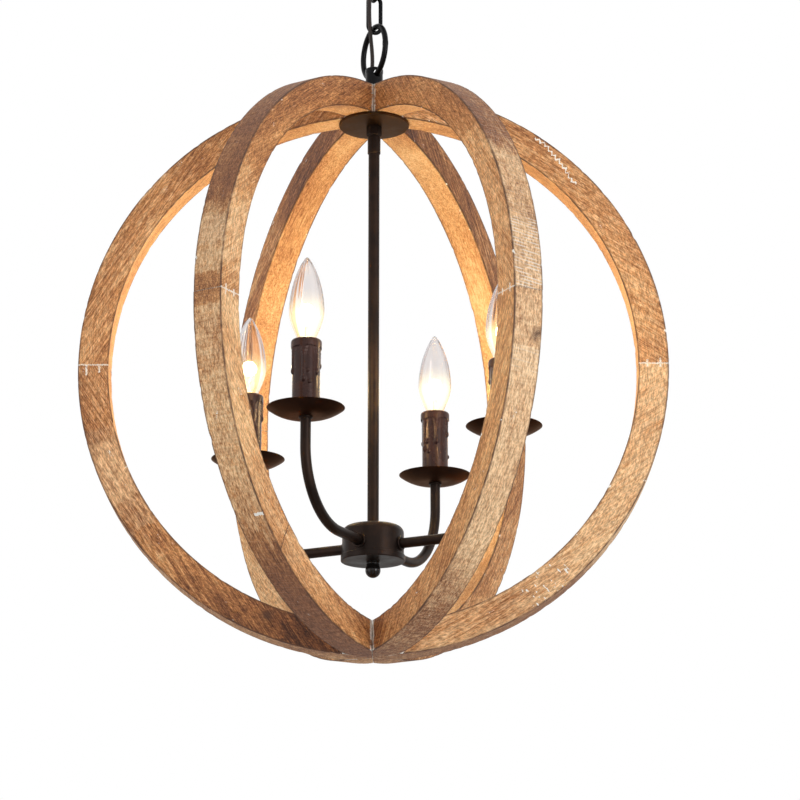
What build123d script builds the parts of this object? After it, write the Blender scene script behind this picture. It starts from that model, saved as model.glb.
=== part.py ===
from build123d import *
import math
import os

# Orb chandelier: six mitred wooden half-hoops round a four-light candle cluster,
# hung by a ring and two chain links from a ceiling canopy.
# Millimetres. Origin: middle of the mounting bar, on the ceiling. +Z is up.
# Inside the orb, heights are counted from the orb's centre.

# Wooden orb
orb_radius = 273.0
hoop_depth = 28.5
hoop_width = 28.5
hoop_count = 6
edge_ease = 0.8
orb_inner_radius = orb_radius - hoop_depth
dowel_radius = 3.0
dowel_length = 36.0
dowel_spread = 13.0
dowel_slack = 0.5
pole_hole_slack = 0.3

# Ceiling hardware
bar_length = 110.0
bar_width = 20.0
bar_thickness = 2.0
bar_corner = 3.0
bar_boss_radius = 7.4
bar_boss_height = 3.0
slot_spacing = 88.9
slot_length = 16.0
slot_width = 4.8
canopy_radius = 63.5
canopy_depth = 25.0
canopy_wall = 1.0
canopy_crown_radius = 26.0
canopy_bulge_depth = 15.5
canopy_bulge_inset = 10.0
canopy_bulge_slope = 37.0
canopy_hole_slack = 0.3
neck_radius = 9.0
eye_wire_radius = 2.5
eye_radius = 12.0
eye_drop = 50.0
eye_wall = 3.0
ground_screw_offset = 24.0
ground_screw_radius = 2.0
ground_head_radius = 3.8
ground_head_height = 2.6
ground_slot_length = 5.2
ground_slot_width = 0.9
ground_slot_depth = 1.0
ceiling_nipple_length = 30.0
collar_height = 7.0
collar_outer = 14.0
collar_flutes = 16
flute_radius = 1.1
neck_top = -16.0
neck_bottom = -39.0
neck_ease = 2.0

# Chain and ring: each rests on the one above it with a small gap
hang_gap = 0.3
link_wire_radius = 2.0
link_height = 42.0
link_width = 17.0
ring_wire_radius = 2.7
ring_radius = 25.0
ring_turn = -64.0
link_turn = ring_turn + 90.0

upper_link_top = -eye_drop - eye_radius + eye_wire_radius + hang_gap + 2 * link_wire_radius
upper_link_mid = upper_link_top - link_height / 2
lower_link_top = upper_link_top - link_height + 4 * link_wire_radius + hang_gap
lower_link_mid = lower_link_top - link_height / 2
ring_top = lower_link_top - link_height + 2 * link_wire_radius + hang_gap + 2 * ring_wire_radius
ring_mid = ring_top - ring_wire_radius - ring_radius

# Barrel loop on top of the orb, with the ring through its cross hole
barrel_height = 25.3
barrel_radius = 8.5
barrel_bore_radius = 7.15
barrel_floor = 6.0
barrel_foot = 3.0
barrel_lip = 3.6
barrel_step = 0.3
barrel_bead = 0.4
barrel_foot_slope = 2.0
barrel_lip_slope = 1.4
barrel_top_ease = 0.8
cross_hole_height = 18.9
cross_hole_radius = 3.8
ring_below_hole = 0.65
orb_z = ring_mid - ring_radius + ring_below_hole - cross_hole_height - orb_radius
orb_top = orb_z + orb_radius

# Stem: threaded nipple, plate, lock nut, coupling and tube
thread_radius = 4.8
thread_bore_radius = 3.4
fit_gap = 0.1
plate_radius = 33.25
plate_thickness = 2.5
plate_ease = 0.9
plate_top = orb_z + math.sqrt(orb_inner_radius**2 - plate_radius**2)
nut_height = 10.0
nut_flats = 12.5
nut_ease = 1.0
coupling_radius = 6.1
coupling_height = 18.0
coupling_ease = 0.7
coupling_top = plate_top - plate_thickness - nut_height
stem_top = coupling_top - coupling_height
stem_radius = 5.25
stem_thread_length = 8.0
lead_window = 2.4

# Hub under the stem
hub_top = orb_z - 151.0
hub_radius = 28.2
hub_height = 31.5
hub_shoulder = 6.5
hub_wall = 1.2
hub_plate_radius = 29.4
hub_plate_height = 5.6
hub_bottom = hub_top - hub_height - hub_wall
hub_plate_ease = 0.8
finial_radius = 7.0
finial_neck = 1.8
finial_neck_radius = 5.9
finial_sink = 0.6
finial_thread = 4.0
stem_foot = hub_bottom - finial_neck - finial_thread

# Arms, each with a drip pan, a candle sleeve, a socket and a bulb
arm_count = 4
arm_turn = 64.4
arm_reach = 132.0
arm_bend = 64.0
arm_tube_radius = 4.7
arm_bore_radius = 3.3
arm_z = orb_z - 169.5
arm_inner_end = 19.0
arm_thread_length = 7.0
arm_flange_radius = 6.2
arm_flange_height = 1.6
arm_flange_root = 0.2
collar_radius = 6.8
collar_stand = 1.5
collar_root = 2.0
collar_ease = 0.5
arm_nut_flats = 14.0
arm_nut_thickness = 4.0
arm_nut_start = 21.0

pan_radius = 34.6
pan_depth = 8.1
pan_wall = 1.2
pan_flat_radius = 14.0
pan_rim_rise = 0.5
pan_floor = orb_z - 80.0
sleeve_bottom = pan_floor + pan_wall
sleeve_top = orb_z - 9.5
sleeve_radius = 12.4
sleeve_bore_radius = 10.6
drip_radius = 13.8
drip_lip = 2.6
drip_root = 0.4
drip_cut_over = 1.0
drip_gap_width = 11.0
drip_arch_drop = 8.5
drip_lengths = [38.0, 31.0, 23.0, 35.0, 20.0, 30.0]
drip_end_radius = 1.9
drip_turn = 262.0
drip_turn_step = 23.0
bead_radius = 1.5
bead_sink = 0.3
bead_places = [(17.0, 31.0), (24.0, 41.0), (150.0, 44.0), (228.0, 36.0)]

socket_radius = 9.0
socket_top = orb_z - 17.0
socket_well_radius = 6.9
socket_well_floor = orb_z - 40.5
shell_radius = 6.8
shell_wall = 0.5
shell_height = 19.0
shell_drop = 0.5
shell_foot = 1.5

bulb_base_radius = 5.8
bulb_base_top = orb_z - 17.5
bulb_base_height = 17.0
bulb_contact_drop = 3.6
bulb_contact_radius = 2.4
bulb_contact_height = 1.2
bulb_base_ease = 1.0
glass_wall = 0.9
glass_neck_radius = 7.6
glass_belly_radius = 16.0
glass_belly_z = orb_z + 17.0
glass_foot_radius = 5.6
glass_flame_radius = 11.8
glass_flame_z = orb_z + 45.0
glass_point_radius = 5.0
glass_point_z = orb_z + 60.5
glass_tip_z = orb_z + 68.0

# Lamp cord, from the canopy down beside the links and through the ring
cord_radius = 1.9
cord_share = 0.45
cord_route = [
    (0.0, 0.0, -1.0),
    (0.0, 0.0, -42.0),
    (-2.6, -8.2, -57.0),
    (-4.6, -8.8, -92.0),
    (-4.8, -8.0, -122.0),
    (-0.6, -1.6, -165.0),
    (-5.7, -2.78, -176.9),
    (0.0, 0.0, -190.5),
    (0.0, 0.0, -205.0),
]
cord_names = ["lead_top", "lead_upper", "lead_lower", "lead_ring"]
cord_cuts = [2, 3, 4]  # each piece ends halfway along the run that starts here


def upright(azimuth, z=0.0, reach=0.0):
    # Vertical plane facing sideways: local x points outwards, local y up
    angle = math.radians(azimuth)
    outward = (math.cos(angle), math.sin(angle), 0)
    sideways = (math.sin(angle), -math.cos(angle), 0)
    origin = (reach * outward[0], reach * outward[1], z)
    return Plane(origin=origin, x_dir=outward, z_dir=sideways)


def outlook(azimuth, z=0.0, reach=0.0, centre=(0.0, 0.0)):
    # Plane that looks outwards from a vertical line: local x is level, local y up
    angle = math.radians(azimuth)
    outward = (math.cos(angle), math.sin(angle), 0)
    level = (-math.sin(angle), math.cos(angle), 0)
    origin = (centre[0] + reach * outward[0], centre[1] + reach * outward[1], z)
    return Plane(origin=origin, x_dir=level, z_dir=outward)


def standing(plane):
    # The vertical line through a plane's origin
    return Axis(plane.origin, (0, 0, 1))


def glass_curve(inset):
    # One side of the bulb's wall, drawn in from its outer face by inset
    foot = (glass_foot_radius - inset, bulb_base_top)
    belly = (glass_belly_radius - inset, glass_belly_z)
    tip = (0, glass_tip_z - inset)
    Spline(foot, (glass_neck_radius - inset, sleeve_top), belly, tangents=[(0.2, 1), (0, 1)])
    Spline(
        belly,
        (glass_flame_radius - inset, glass_flame_z),
        (glass_point_radius - inset, glass_point_z),
        tip,
        tangents=[(0, 1), (-1, 0)],
    )
    return foot, tip


def save(builder, label):
    builder.part.label = label
    export_step(builder.part, f"parts/{label}.step")


def middle(a, b):
    return tuple((p + q) / 2 for p, q in zip(a, b))


os.makedirs("parts", exist_ok=True)

# Ceiling: bar, ground screw, nipple, canopy, collar and loop

with BuildPart() as mounting_bar:
    with BuildSketch(Plane.XY.offset(-bar_thickness)):
        RectangleRounded(bar_length, bar_width, bar_corner)
        with GridLocations(slot_spacing, 0, 2, 1):
            SlotOverall(slot_length, slot_width, mode=Mode.SUBTRACT)
        Circle(thread_radius + fit_gap, mode=Mode.SUBTRACT)
        with Locations((ground_screw_offset, 0)):
            Circle(ground_screw_radius + fit_gap, mode=Mode.SUBTRACT)
    extrude(amount=bar_thickness)
    with BuildSketch(Plane.XY.offset(-bar_thickness)):
        Circle(bar_boss_radius)
        Circle(thread_radius + fit_gap, mode=Mode.SUBTRACT)
    extrude(amount=-bar_boss_height)
save(mounting_bar, "mounting_bar")

with BuildPart() as ground_screw:
    with BuildSketch(Plane.XY.offset(-bar_thickness)):
        with Locations((ground_screw_offset, 0)):
            RegularPolygon(ground_head_radius, 6)
    extrude(amount=-ground_head_height)
    with BuildSketch(Plane.XY.offset(-bar_thickness)):
        with Locations((ground_screw_offset, 0)):
            Circle(ground_screw_radius)
    extrude(amount=bar_thickness)
    with BuildSketch(Plane.XY.offset(-bar_thickness - ground_head_height)):
        with Locations((ground_screw_offset, 0)):
            Rectangle(ground_slot_length, ground_slot_width)
    extrude(amount=ground_slot_depth, mode=Mode.SUBTRACT)
save(ground_screw, "ground_screw")

with BuildPart() as ceiling_nipple:
    with BuildSketch(Plane.XY):
        Circle(thread_radius)
        Circle(thread_bore_radius, mode=Mode.SUBTRACT)
    extrude(amount=-ceiling_nipple_length)
save(ceiling_nipple, "ceiling_nipple")

canopy_hole = neck_radius + canopy_hole_slack
canopy_bulge_wall = canopy_wall * math.sin(math.radians(canopy_bulge_slope))
with BuildPart() as canopy:
    with BuildSketch(Plane.XZ):
        with BuildLine():
            rim = Line((canopy_radius, 0), (canopy_radius - canopy_wall, 0))
            inside = ThreePointArc(
                rim @ 1,
                (canopy_radius - canopy_bulge_inset - canopy_wall, -canopy_bulge_depth),
                (canopy_crown_radius, -canopy_depth + canopy_wall),
            )
            inner_crown = Line(inside @ 1, (canopy_hole, -canopy_depth + canopy_wall))
            lip = Line(inner_crown @ 1, (canopy_hole, -canopy_depth))
            outer_crown = Line(lip @ 1, (canopy_crown_radius, -canopy_depth))
            ThreePointArc(
                outer_crown @ 1,
                (canopy_radius - canopy_bulge_inset, -canopy_bulge_depth - canopy_bulge_wall),
                rim @ 0,
            )
        make_face()
    revolve(axis=Axis.Z)
save(canopy, "canopy")

with BuildPart() as screw_collar:
    with BuildSketch(Plane.XY.offset(-canopy_depth - fit_gap)):
        Circle(collar_outer)
        Circle(neck_radius + fit_gap, mode=Mode.SUBTRACT)
        with PolarLocations(collar_outer + flute_radius / 2, collar_flutes):
            Circle(flute_radius, mode=Mode.SUBTRACT)
    extrude(amount=-collar_height)
save(screw_collar, "screw_collar")

with BuildPart() as canopy_loop:
    with BuildSketch(Plane.XY.offset(neck_top)):
        Circle(neck_radius)
    extrude(amount=neck_bottom - neck_top)
    fillet(canopy_loop.edges().group_by(Axis.Z)[0], neck_ease)
    with BuildSketch(Plane.XY.offset(neck_top)):
        Circle(thread_radius + fit_gap)
    extrude(amount=-ceiling_nipple_length - neck_top, mode=Mode.SUBTRACT)
    eye_plane = upright(link_turn, -eye_drop)
    with BuildLine(eye_plane):
        eye_path = CenterArc((0, 0), eye_radius, 0, 360)
    with BuildSketch(Plane(origin=eye_path @ 0, z_dir=eye_path % 0)):
        Circle(eye_wire_radius)
    sweep(path=eye_path)
    with BuildSketch(Plane.XY.offset(neck_top)):
        Circle(thread_bore_radius)
    extrude(amount=neck_bottom - neck_top - eye_wall, mode=Mode.SUBTRACT)
save(canopy_loop, "canopy_loop")

# Chain links and ring

for name, turn, mid in [
    ("chain_link_upper", ring_turn, upper_link_mid),
    ("chain_link_lower", link_turn, lower_link_mid),
]:
    link_plane = upright(turn, mid)
    half_width = link_width / 2 - link_wire_radius
    straight = link_height / 2 - link_wire_radius - half_width
    with BuildPart() as chain_link:
        with BuildLine(link_plane) as link_line:
            Line((half_width, -straight), (half_width, straight))
            CenterArc((0, straight), half_width, 0, 180)
            Line((-half_width, straight), (-half_width, -straight))
            CenterArc((0, -straight), half_width, 180, 180)
        link_wire = link_line.wires()[0]
        with BuildSketch(Plane(origin=link_wire @ 0, z_dir=link_wire % 0)):
            Circle(link_wire_radius)
        sweep(path=link_wire)
    save(chain_link, name)

with BuildPart() as hanging_ring:
    with BuildLine(upright(ring_turn, ring_mid)):
        ring_path = CenterArc((0, 0), ring_radius, 0, 360)
    with BuildSketch(Plane(origin=ring_path @ 0, z_dir=ring_path % 0)):
        Circle(ring_wire_radius)
    sweep(path=ring_path)
save(hanging_ring, "hanging_ring")

# Lamp cord: one unbroken route, in a piece for each joint that it passes

cord_runs = [math.dist(a, b) for a, b in zip(cord_route, cord_route[1:])]
cord_radii = []
for before, corner, after, run_in, run_out in zip(
    cord_route, cord_route[1:], cord_route[2:], cord_runs, cord_runs[1:]
):
    turn = (Vector(*corner) - Vector(*before)).get_angle(Vector(*after) - Vector(*corner))
    cord_radii.append(cord_share * min(run_in, run_out) / math.tan(math.radians(turn / 2)))
print("cord radii", [round(radius, 1) for radius in cord_radii])

piece_starts = [0] + [cut + 1 for cut in cord_cuts]
piece_ends = cord_cuts + [len(cord_route) - 1]
for name, first, last in zip(cord_names, piece_starts, piece_ends):
    points = cord_route[first : last + 1]
    corners = list(range(first, last + 1))
    if first > 0:
        points = [middle(cord_route[first - 1], cord_route[first])] + points
    else:
        corners = corners[1:]
    if last < len(cord_route) - 1:
        points = points + [middle(cord_route[last], cord_route[last + 1])]
    else:
        corners = corners[:-1]
    radii = [cord_radii[corner - 1] for corner in corners]
    with BuildPart() as lead:
        with BuildLine() as lead_line:
            FilletPolyline(*points, radius=radii)
        lead_wire = lead_line.wires()[0]
        with BuildSketch(Plane(origin=lead_wire @ 0, z_dir=lead_wire % 0)):
            Circle(cord_radius)
        sweep(path=lead_wire)
    expected = math.pi * cord_radius**2 * lead_wire.length
    print(name, "length", round(lead_wire.length, 1), "volume ratio", round(lead.part.volume / expected, 4))
    save(lead, name)

# Barrel loop, nipple, plate, nut, coupling and stem

barrel_top = orb_top + barrel_height
barrel_waist = barrel_radius - barrel_step
with BuildPart() as barrel_loop:
    with BuildSketch(Plane.XZ):
        with BuildLine():
            Polyline(
                (thread_radius + fit_gap, orb_top),
                (barrel_radius + barrel_bead, orb_top),
                (barrel_radius + barrel_bead, orb_top + barrel_foot),
                (barrel_waist, orb_top + barrel_foot + barrel_foot_slope),
                (barrel_waist, barrel_top - barrel_lip - barrel_lip_slope),
                (barrel_radius, barrel_top - barrel_lip),
                (barrel_radius, barrel_top - barrel_top_ease),
                (barrel_radius - barrel_top_ease, barrel_top),
                (barrel_bore_radius, barrel_top),
                (barrel_bore_radius, orb_top + barrel_floor),
                (thread_radius + fit_gap, orb_top + barrel_floor),
                close=True,
            )
        make_face()
    revolve(axis=Axis.Z)
    with BuildSketch(outlook(ring_turn, orb_top + cross_hole_height)):
        Circle(cross_hole_radius)
    extrude(amount=2 * barrel_radius, both=True, mode=Mode.SUBTRACT)
save(barrel_loop, "barrel_loop")

top_nipple_top = orb_top + barrel_floor
top_nipple_bottom = coupling_top - coupling_height / 2
with BuildPart() as top_nipple:
    with BuildSketch(Plane.XY.offset(top_nipple_bottom)):
        Circle(thread_radius)
        Circle(thread_bore_radius, mode=Mode.SUBTRACT)
    extrude(amount=top_nipple_top - top_nipple_bottom)
save(top_nipple, "top_nipple")

with BuildPart() as top_plate:
    with BuildSketch(Plane.XY.offset(plate_top - plate_thickness)):
        Circle(plate_radius)
    extrude(amount=plate_thickness)
    fillet(top_plate.edges().group_by(Axis.Z)[0], plate_ease)
    with BuildSketch(Plane.XY.offset(plate_top)):
        Circle(thread_radius + fit_gap)
    extrude(amount=-plate_thickness, mode=Mode.SUBTRACT)
save(top_plate, "top_plate")

with BuildPart() as plate_nut:
    with BuildSketch(Plane.XY.offset(coupling_top)):
        RegularPolygon(nut_flats / 2, 6, major_radius=False)
    extrude(amount=nut_height)
    chamfer(plate_nut.edges().group_by(Axis.Z)[0], nut_ease)
    with BuildSketch(Plane.XY.offset(coupling_top)):
        Circle(thread_radius + fit_gap)
    extrude(amount=nut_height, mode=Mode.SUBTRACT)
save(plate_nut, "plate_nut")

with BuildPart() as coupling:
    with BuildSketch(Plane.XY.offset(stem_top)):
        Circle(coupling_radius)
    extrude(amount=coupling_height)
    chamfer(coupling.edges().filter_by(GeomType.CIRCLE), coupling_ease)
    with BuildSketch(Plane.XY.offset(stem_top)):
        Circle(thread_radius + fit_gap)
    extrude(amount=coupling_height, mode=Mode.SUBTRACT)
save(coupling, "coupling")

with BuildPart() as stem_tube:
    with BuildSketch(Plane.XY.offset(hub_top)):
        Circle(stem_radius)
    extrude(amount=stem_top - hub_top)
    with BuildSketch(Plane.XY.offset(stem_foot)):
        Circle(thread_radius)
    extrude(amount=stem_top + stem_thread_length - stem_foot)
    with BuildSketch(Plane.XY.offset(stem_foot)):
        Circle(thread_bore_radius)
    extrude(amount=stem_top + stem_thread_length - stem_foot, mode=Mode.SUBTRACT)
    with BuildSketch(outlook(arm_turn + 45, arm_z)):
        Circle(lead_window)
    extrude(amount=stem_radius, both=True, mode=Mode.SUBTRACT)
save(stem_tube, "stem_tube")

with BuildPart() as stem_leads:
    with BuildSketch(Plane.XY.offset(arm_z - lead_window)):
        Circle(cord_radius)
    extrude(amount=cord_route[-1][2] - arm_z + lead_window)
save(stem_leads, "stem_leads")

# Hub, bottom plate and finial

arm_azimuths = [arm_turn + 360 / arm_count * step for step in range(arm_count)]

with BuildPart() as hub_body:
    with BuildSketch(Plane.XY.offset(hub_top - hub_height)):
        Circle(hub_radius)
    extrude(amount=hub_height)
    fillet(hub_body.edges().group_by(Axis.Z)[-1], hub_shoulder)
    offset(amount=-hub_wall, openings=hub_body.faces().sort_by(Axis.Z)[0])
    with BuildSketch(Plane.XY.offset(hub_top)):
        Circle(thread_radius + fit_gap)
    extrude(amount=-2 * hub_wall, mode=Mode.SUBTRACT)
    for azimuth in arm_azimuths:
        with BuildSketch(outlook(azimuth, arm_z)):
            Circle(arm_tube_radius + fit_gap)
        extrude(amount=hub_radius, mode=Mode.SUBTRACT)
save(hub_body, "hub_body")

with BuildPart() as hub_plate:
    with BuildSketch(Plane.XY.offset(hub_bottom)):
        Circle(hub_plate_radius)
    extrude(amount=hub_plate_height)
    fillet(hub_plate.edges().group_by(Axis.Z)[0], hub_plate_ease)
    with BuildSketch(Plane.XY.offset(hub_bottom + hub_wall)):
        Circle(hub_radius + fit_gap)
    extrude(amount=hub_plate_height, mode=Mode.SUBTRACT)
    with BuildSketch(Plane.XY.offset(hub_bottom)):
        Circle(thread_radius + fit_gap)
    extrude(amount=hub_wall, mode=Mode.SUBTRACT)
save(hub_plate, "hub_plate")

finial_z = hub_bottom - finial_neck - finial_radius + finial_sink
with BuildPart() as finial:
    with BuildSketch(Plane.XZ):
        with Locations((0, finial_z)):
            Circle(finial_radius)
        with Locations((0, hub_bottom - finial_neck)):
            Rectangle(2 * finial_neck_radius, 2 * finial_neck)
        with Locations((-finial_radius, finial_z)):
            Rectangle(2 * finial_radius, 4 * finial_radius, mode=Mode.SUBTRACT)
    revolve(axis=Axis.Z)
    with BuildSketch(Plane.XY.offset(hub_bottom)):
        Circle(thread_radius + fit_gap)
    extrude(amount=stem_foot - hub_bottom - finial_sink, mode=Mode.SUBTRACT)
save(finial, "finial")

# Arms with their collars and nuts

arm_top = pan_floor - arm_flange_height
arm_thread_top = pan_floor + arm_thread_length
for step, azimuth in enumerate(arm_azimuths):
    arm_plane = upright(azimuth)
    bend_start = arm_reach - arm_bend
    with BuildPart() as arm:
        with BuildLine(arm_plane) as arm_line:
            level = Line((arm_inner_end, arm_z), (bend_start, arm_z))
            bend = CenterArc((bend_start, arm_z + arm_bend), arm_bend, -90, 90)
            Line(bend @ 1, (arm_reach, arm_thread_top))
        arm_wire = arm_line.wires()[0]
        with BuildSketch(outlook(azimuth, arm_z, arm_inner_end)):
            Circle(arm_tube_radius)
            Circle(arm_bore_radius, mode=Mode.SUBTRACT)
        sweep(path=arm_wire)
        tip = upright(azimuth, pan_floor, arm_reach)
        with BuildSketch(Plane.XY.offset(arm_top)):
            with Locations((tip.origin.X, tip.origin.Y)):
                Circle(arm_flange_radius)
                Circle(arm_tube_radius - arm_flange_root, mode=Mode.SUBTRACT)
        extrude(amount=arm_flange_height)
    save(arm, f"arm_{step + 1}")

with BuildPart() as arm_collars:
    for azimuth in arm_azimuths:
        with BuildSketch(outlook(azimuth, arm_z, hub_radius - collar_root)):
            Circle(collar_radius)
            Circle(arm_tube_radius + fit_gap, mode=Mode.SUBTRACT)
        extrude(amount=collar_root + collar_stand)
    with BuildSketch(Plane.XY.offset(arm_z - 2 * collar_radius)):
        Circle(hub_radius)
    extrude(amount=4 * collar_radius, mode=Mode.SUBTRACT)
    outer_rims = arm_collars.edges().filter_by(GeomType.CIRCLE)
    fillet([edge for edge in outer_rims if edge.radius > collar_radius - fit_gap], collar_ease)
save(arm_collars, "arm_collars")

with BuildPart() as arm_nuts:
    for azimuth in arm_azimuths:
        with BuildSketch(outlook(azimuth, arm_z, arm_nut_start)):
            RegularPolygon(arm_nut_flats / 2, 6, major_radius=False)
            Circle(arm_tube_radius + fit_gap, mode=Mode.SUBTRACT)
        extrude(amount=arm_nut_thickness)
save(arm_nuts, "arm_nuts")

# Drip pans, candle sleeves, sockets and bulbs

for step, azimuth in enumerate(arm_azimuths):
    tip = upright(azimuth, 0, arm_reach)

    with BuildPart() as drip_pan:
        with BuildSketch(tip):
            with BuildLine():
                hole = thread_radius + fit_gap
                under = Line((hole, pan_floor), (pan_flat_radius, pan_floor))
                bowl = TangentArc(under @ 1, (pan_radius, pan_floor + pan_depth), tangent=(1, 0))
                edge = Line(
                    bowl @ 1, (pan_radius - pan_wall, pan_floor + pan_depth + pan_rim_rise)
                )
                top = TangentArc(
                    (pan_flat_radius, pan_floor + pan_wall), edge @ 1, tangent=(1, 0)
                )
                over = Line(top @ 0, (hole, pan_floor + pan_wall))
                Line(over @ 1, under @ 0)
            make_face()
        revolve(axis=standing(tip))
    save(drip_pan, f"drip_pan_{step + 1}")

    centre = (tip.origin.X, tip.origin.Y)
    drip_bottom = sleeve_top - max(drip_lengths)
    drip_pitch = 360 / len(drip_lengths)
    first_drip = drip_turn + drip_turn_step * (step - 2)
    cut_start = sleeve_bore_radius + drip_root
    cut_depth = drip_radius - cut_start + drip_cut_over
    arch_top = sleeve_top - drip_arch_drop
    arch_radius = drip_gap_width / 2
    arch_height = arch_top - drip_bottom + drip_cut_over
    with BuildPart() as candle_sleeve:
        # The wax coat: a thick collar with a rounded lip
        with BuildSketch(tip):
            with BuildLine():
                lip = TangentArc(
                    (drip_radius, sleeve_top - drip_lip),
                    (drip_radius - drip_lip, sleeve_top),
                    tangent=(0, 1),
                )
                Polyline(
                    lip @ 1,
                    (sleeve_bore_radius, sleeve_top),
                    (sleeve_bore_radius, drip_bottom),
                    (drip_radius - drip_root, drip_bottom),
                    lip @ 0,
                )
            make_face()
        revolve(axis=standing(tip))
        # Arches cut between the runs, and each run cut to its own length
        for run, length in enumerate(drip_lengths):
            run_azimuth = first_drip + drip_pitch * run
            gap_plane = outlook(run_azimuth + drip_pitch / 2, arch_top, cut_start, centre)
            with BuildSketch(gap_plane):
                with Locations((0, -arch_radius)):
                    Circle(arch_radius)
                with Locations((0, -(arch_radius + arch_height) / 2)):
                    Rectangle(drip_gap_width, arch_height - arch_radius)
            extrude(amount=cut_depth, mode=Mode.SUBTRACT)
            if length < max(drip_lengths):
                run_plane = outlook(run_azimuth, sleeve_top - length, cut_start, centre)
                spare = max(drip_lengths) - length + drip_cut_over
                with BuildSketch(run_plane):
                    with Locations((0, -spare / 2)):
                        Rectangle(drip_gap_width / 2, spare)
                extrude(amount=cut_depth, mode=Mode.SUBTRACT)
        # A drop hangs at the end of each run, and a few beads sit on their own
        for run, length in enumerate(drip_lengths):
            drop = outlook(first_drip + drip_pitch * run, sleeve_top - length, sleeve_radius, centre)
            with Locations(drop):
                Sphere(drip_end_radius)
        for turn, drop_below in bead_places:
            bead_reach = sleeve_radius - bead_sink
            bead = outlook(first_drip + turn, sleeve_top - drop_below, bead_reach, centre)
            with Locations(bead):
                Sphere(bead_radius)
        # The card tube that carries the coat
        with BuildSketch(Plane.XY.offset(sleeve_bottom)):
            with Locations(centre):
                Circle(sleeve_radius)
        extrude(amount=sleeve_top - drip_lip - sleeve_bottom)
        with BuildSketch(Plane.XY.offset(sleeve_bottom)):
            with Locations(centre):
                Circle(sleeve_bore_radius)
        extrude(amount=sleeve_top - sleeve_bottom, mode=Mode.SUBTRACT)
    save(candle_sleeve, f"candle_sleeve_{step + 1}")

with BuildPart() as socket_bodies:
    for azimuth in arm_azimuths:
        tip = upright(azimuth, 0, arm_reach)
        with BuildSketch(tip):
            with BuildLine():
                Polyline(
                    (thread_radius + fit_gap, sleeve_bottom),
                    (socket_radius, sleeve_bottom),
                    (socket_radius, socket_top),
                    (socket_well_radius, socket_top),
                    (socket_well_radius, socket_well_floor),
                    (thread_radius + fit_gap, socket_well_floor),
                    close=True,
                )
            make_face()
        revolve(axis=standing(tip))
save(socket_bodies, "socket_bodies")

shell_top = socket_top - shell_drop
with BuildPart() as socket_shells:
    for azimuth in arm_azimuths:
        tip = upright(azimuth, 0, arm_reach)
        with BuildSketch(tip):
            with BuildLine():
                Polyline(
                    (shell_radius, shell_top),
                    (shell_radius, shell_top - shell_height),
                    (shell_radius - shell_foot, shell_top - shell_height),
                    (shell_radius - shell_foot, shell_top - shell_height + shell_wall),
                    (shell_radius - shell_wall, shell_top - shell_height + shell_wall),
                    (shell_radius - shell_wall, shell_top),
                    close=True,
                )
            make_face()
        revolve(axis=standing(tip))
save(socket_shells, "socket_shells")

for step, azimuth in enumerate(arm_azimuths):
    tip = upright(azimuth, 0, arm_reach)
    base_bottom = bulb_base_top - bulb_base_height
    contact_bottom = base_bottom - bulb_contact_drop

    with BuildPart() as bulb_base:
        with BuildSketch(tip):
            with BuildLine():
                Polyline(
                    (0, bulb_base_top),
                    (bulb_base_radius, bulb_base_top),
                    (bulb_base_radius, base_bottom + bulb_base_ease),
                    (bulb_base_radius - bulb_base_ease, base_bottom),
                    (bulb_contact_radius, contact_bottom + bulb_contact_height),
                    (bulb_contact_radius, contact_bottom),
                    (0, contact_bottom),
                    close=True,
                )
            make_face()
        revolve(axis=standing(tip))
    save(bulb_base, f"bulb_base_{step + 1}")

    with BuildPart() as bulb_glass:
        with BuildSketch(tip):
            with BuildLine():
                outer_foot, outer_tip = glass_curve(0)
                inner_foot, inner_tip = glass_curve(glass_wall)
                Line(outer_foot, inner_foot)
                Line(outer_tip, inner_tip)
            make_face()
        revolve(axis=standing(tip))
    save(bulb_glass, f"bulb_glass_{step + 1}")

# Wooden orb: quarter arcs, mitred at the poles and dowelled at the equator

hoop_azimuths = [360 / hoop_count * step for step in range(hoop_count)]
half_step = 180 / hoop_count
dowel_places = [
    (orb_radius - hoop_depth / 2 - dowel_spread / 2, 0),
    (orb_radius - hoop_depth / 2 + dowel_spread / 2, 0),
]

for level_name, start_angle in [("upper", 0), ("lower", -90)]:
    for step, azimuth in enumerate(hoop_azimuths):
        with BuildPart() as quarter_arc:
            with BuildSketch(upright(azimuth, orb_z)):
                with BuildLine():
                    outer = CenterArc((0, 0), orb_radius, start_angle, 90)
                    inner = CenterArc((0, 0), orb_inner_radius, start_angle, 90)
                    Line(outer @ 0, inner @ 0)
                    Line(outer @ 1, inner @ 1)
                make_face()
            extrude(amount=hoop_width / 2, both=True)
            chamfer(quarter_arc.edges().filter_by(GeomType.CIRCLE), edge_ease)
            left = upright(azimuth + half_step)
            right = upright(azimuth - half_step)
            split(bisect_by=left, keep=Keep.TOP)
            split(bisect_by=right, keep=Keep.BOTTOM)
            if level_name == "upper":
                with BuildSketch(Plane.XY.offset(orb_top)):
                    Circle(thread_radius + pole_hole_slack)
                extrude(amount=-2 * hoop_depth, mode=Mode.SUBTRACT)
            turned = Plane(
                origin=(0, 0, orb_z),
                x_dir=upright(azimuth).x_dir,
                z_dir=(0, 0, 1),
            )
            with BuildSketch(turned.offset(-dowel_length / 2)):
                with Locations(*dowel_places):
                    Circle(dowel_radius)
            extrude(amount=dowel_length, mode=Mode.SUBTRACT)
        save(quarter_arc, f"arc_{level_name}_{step + 1}")

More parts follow.
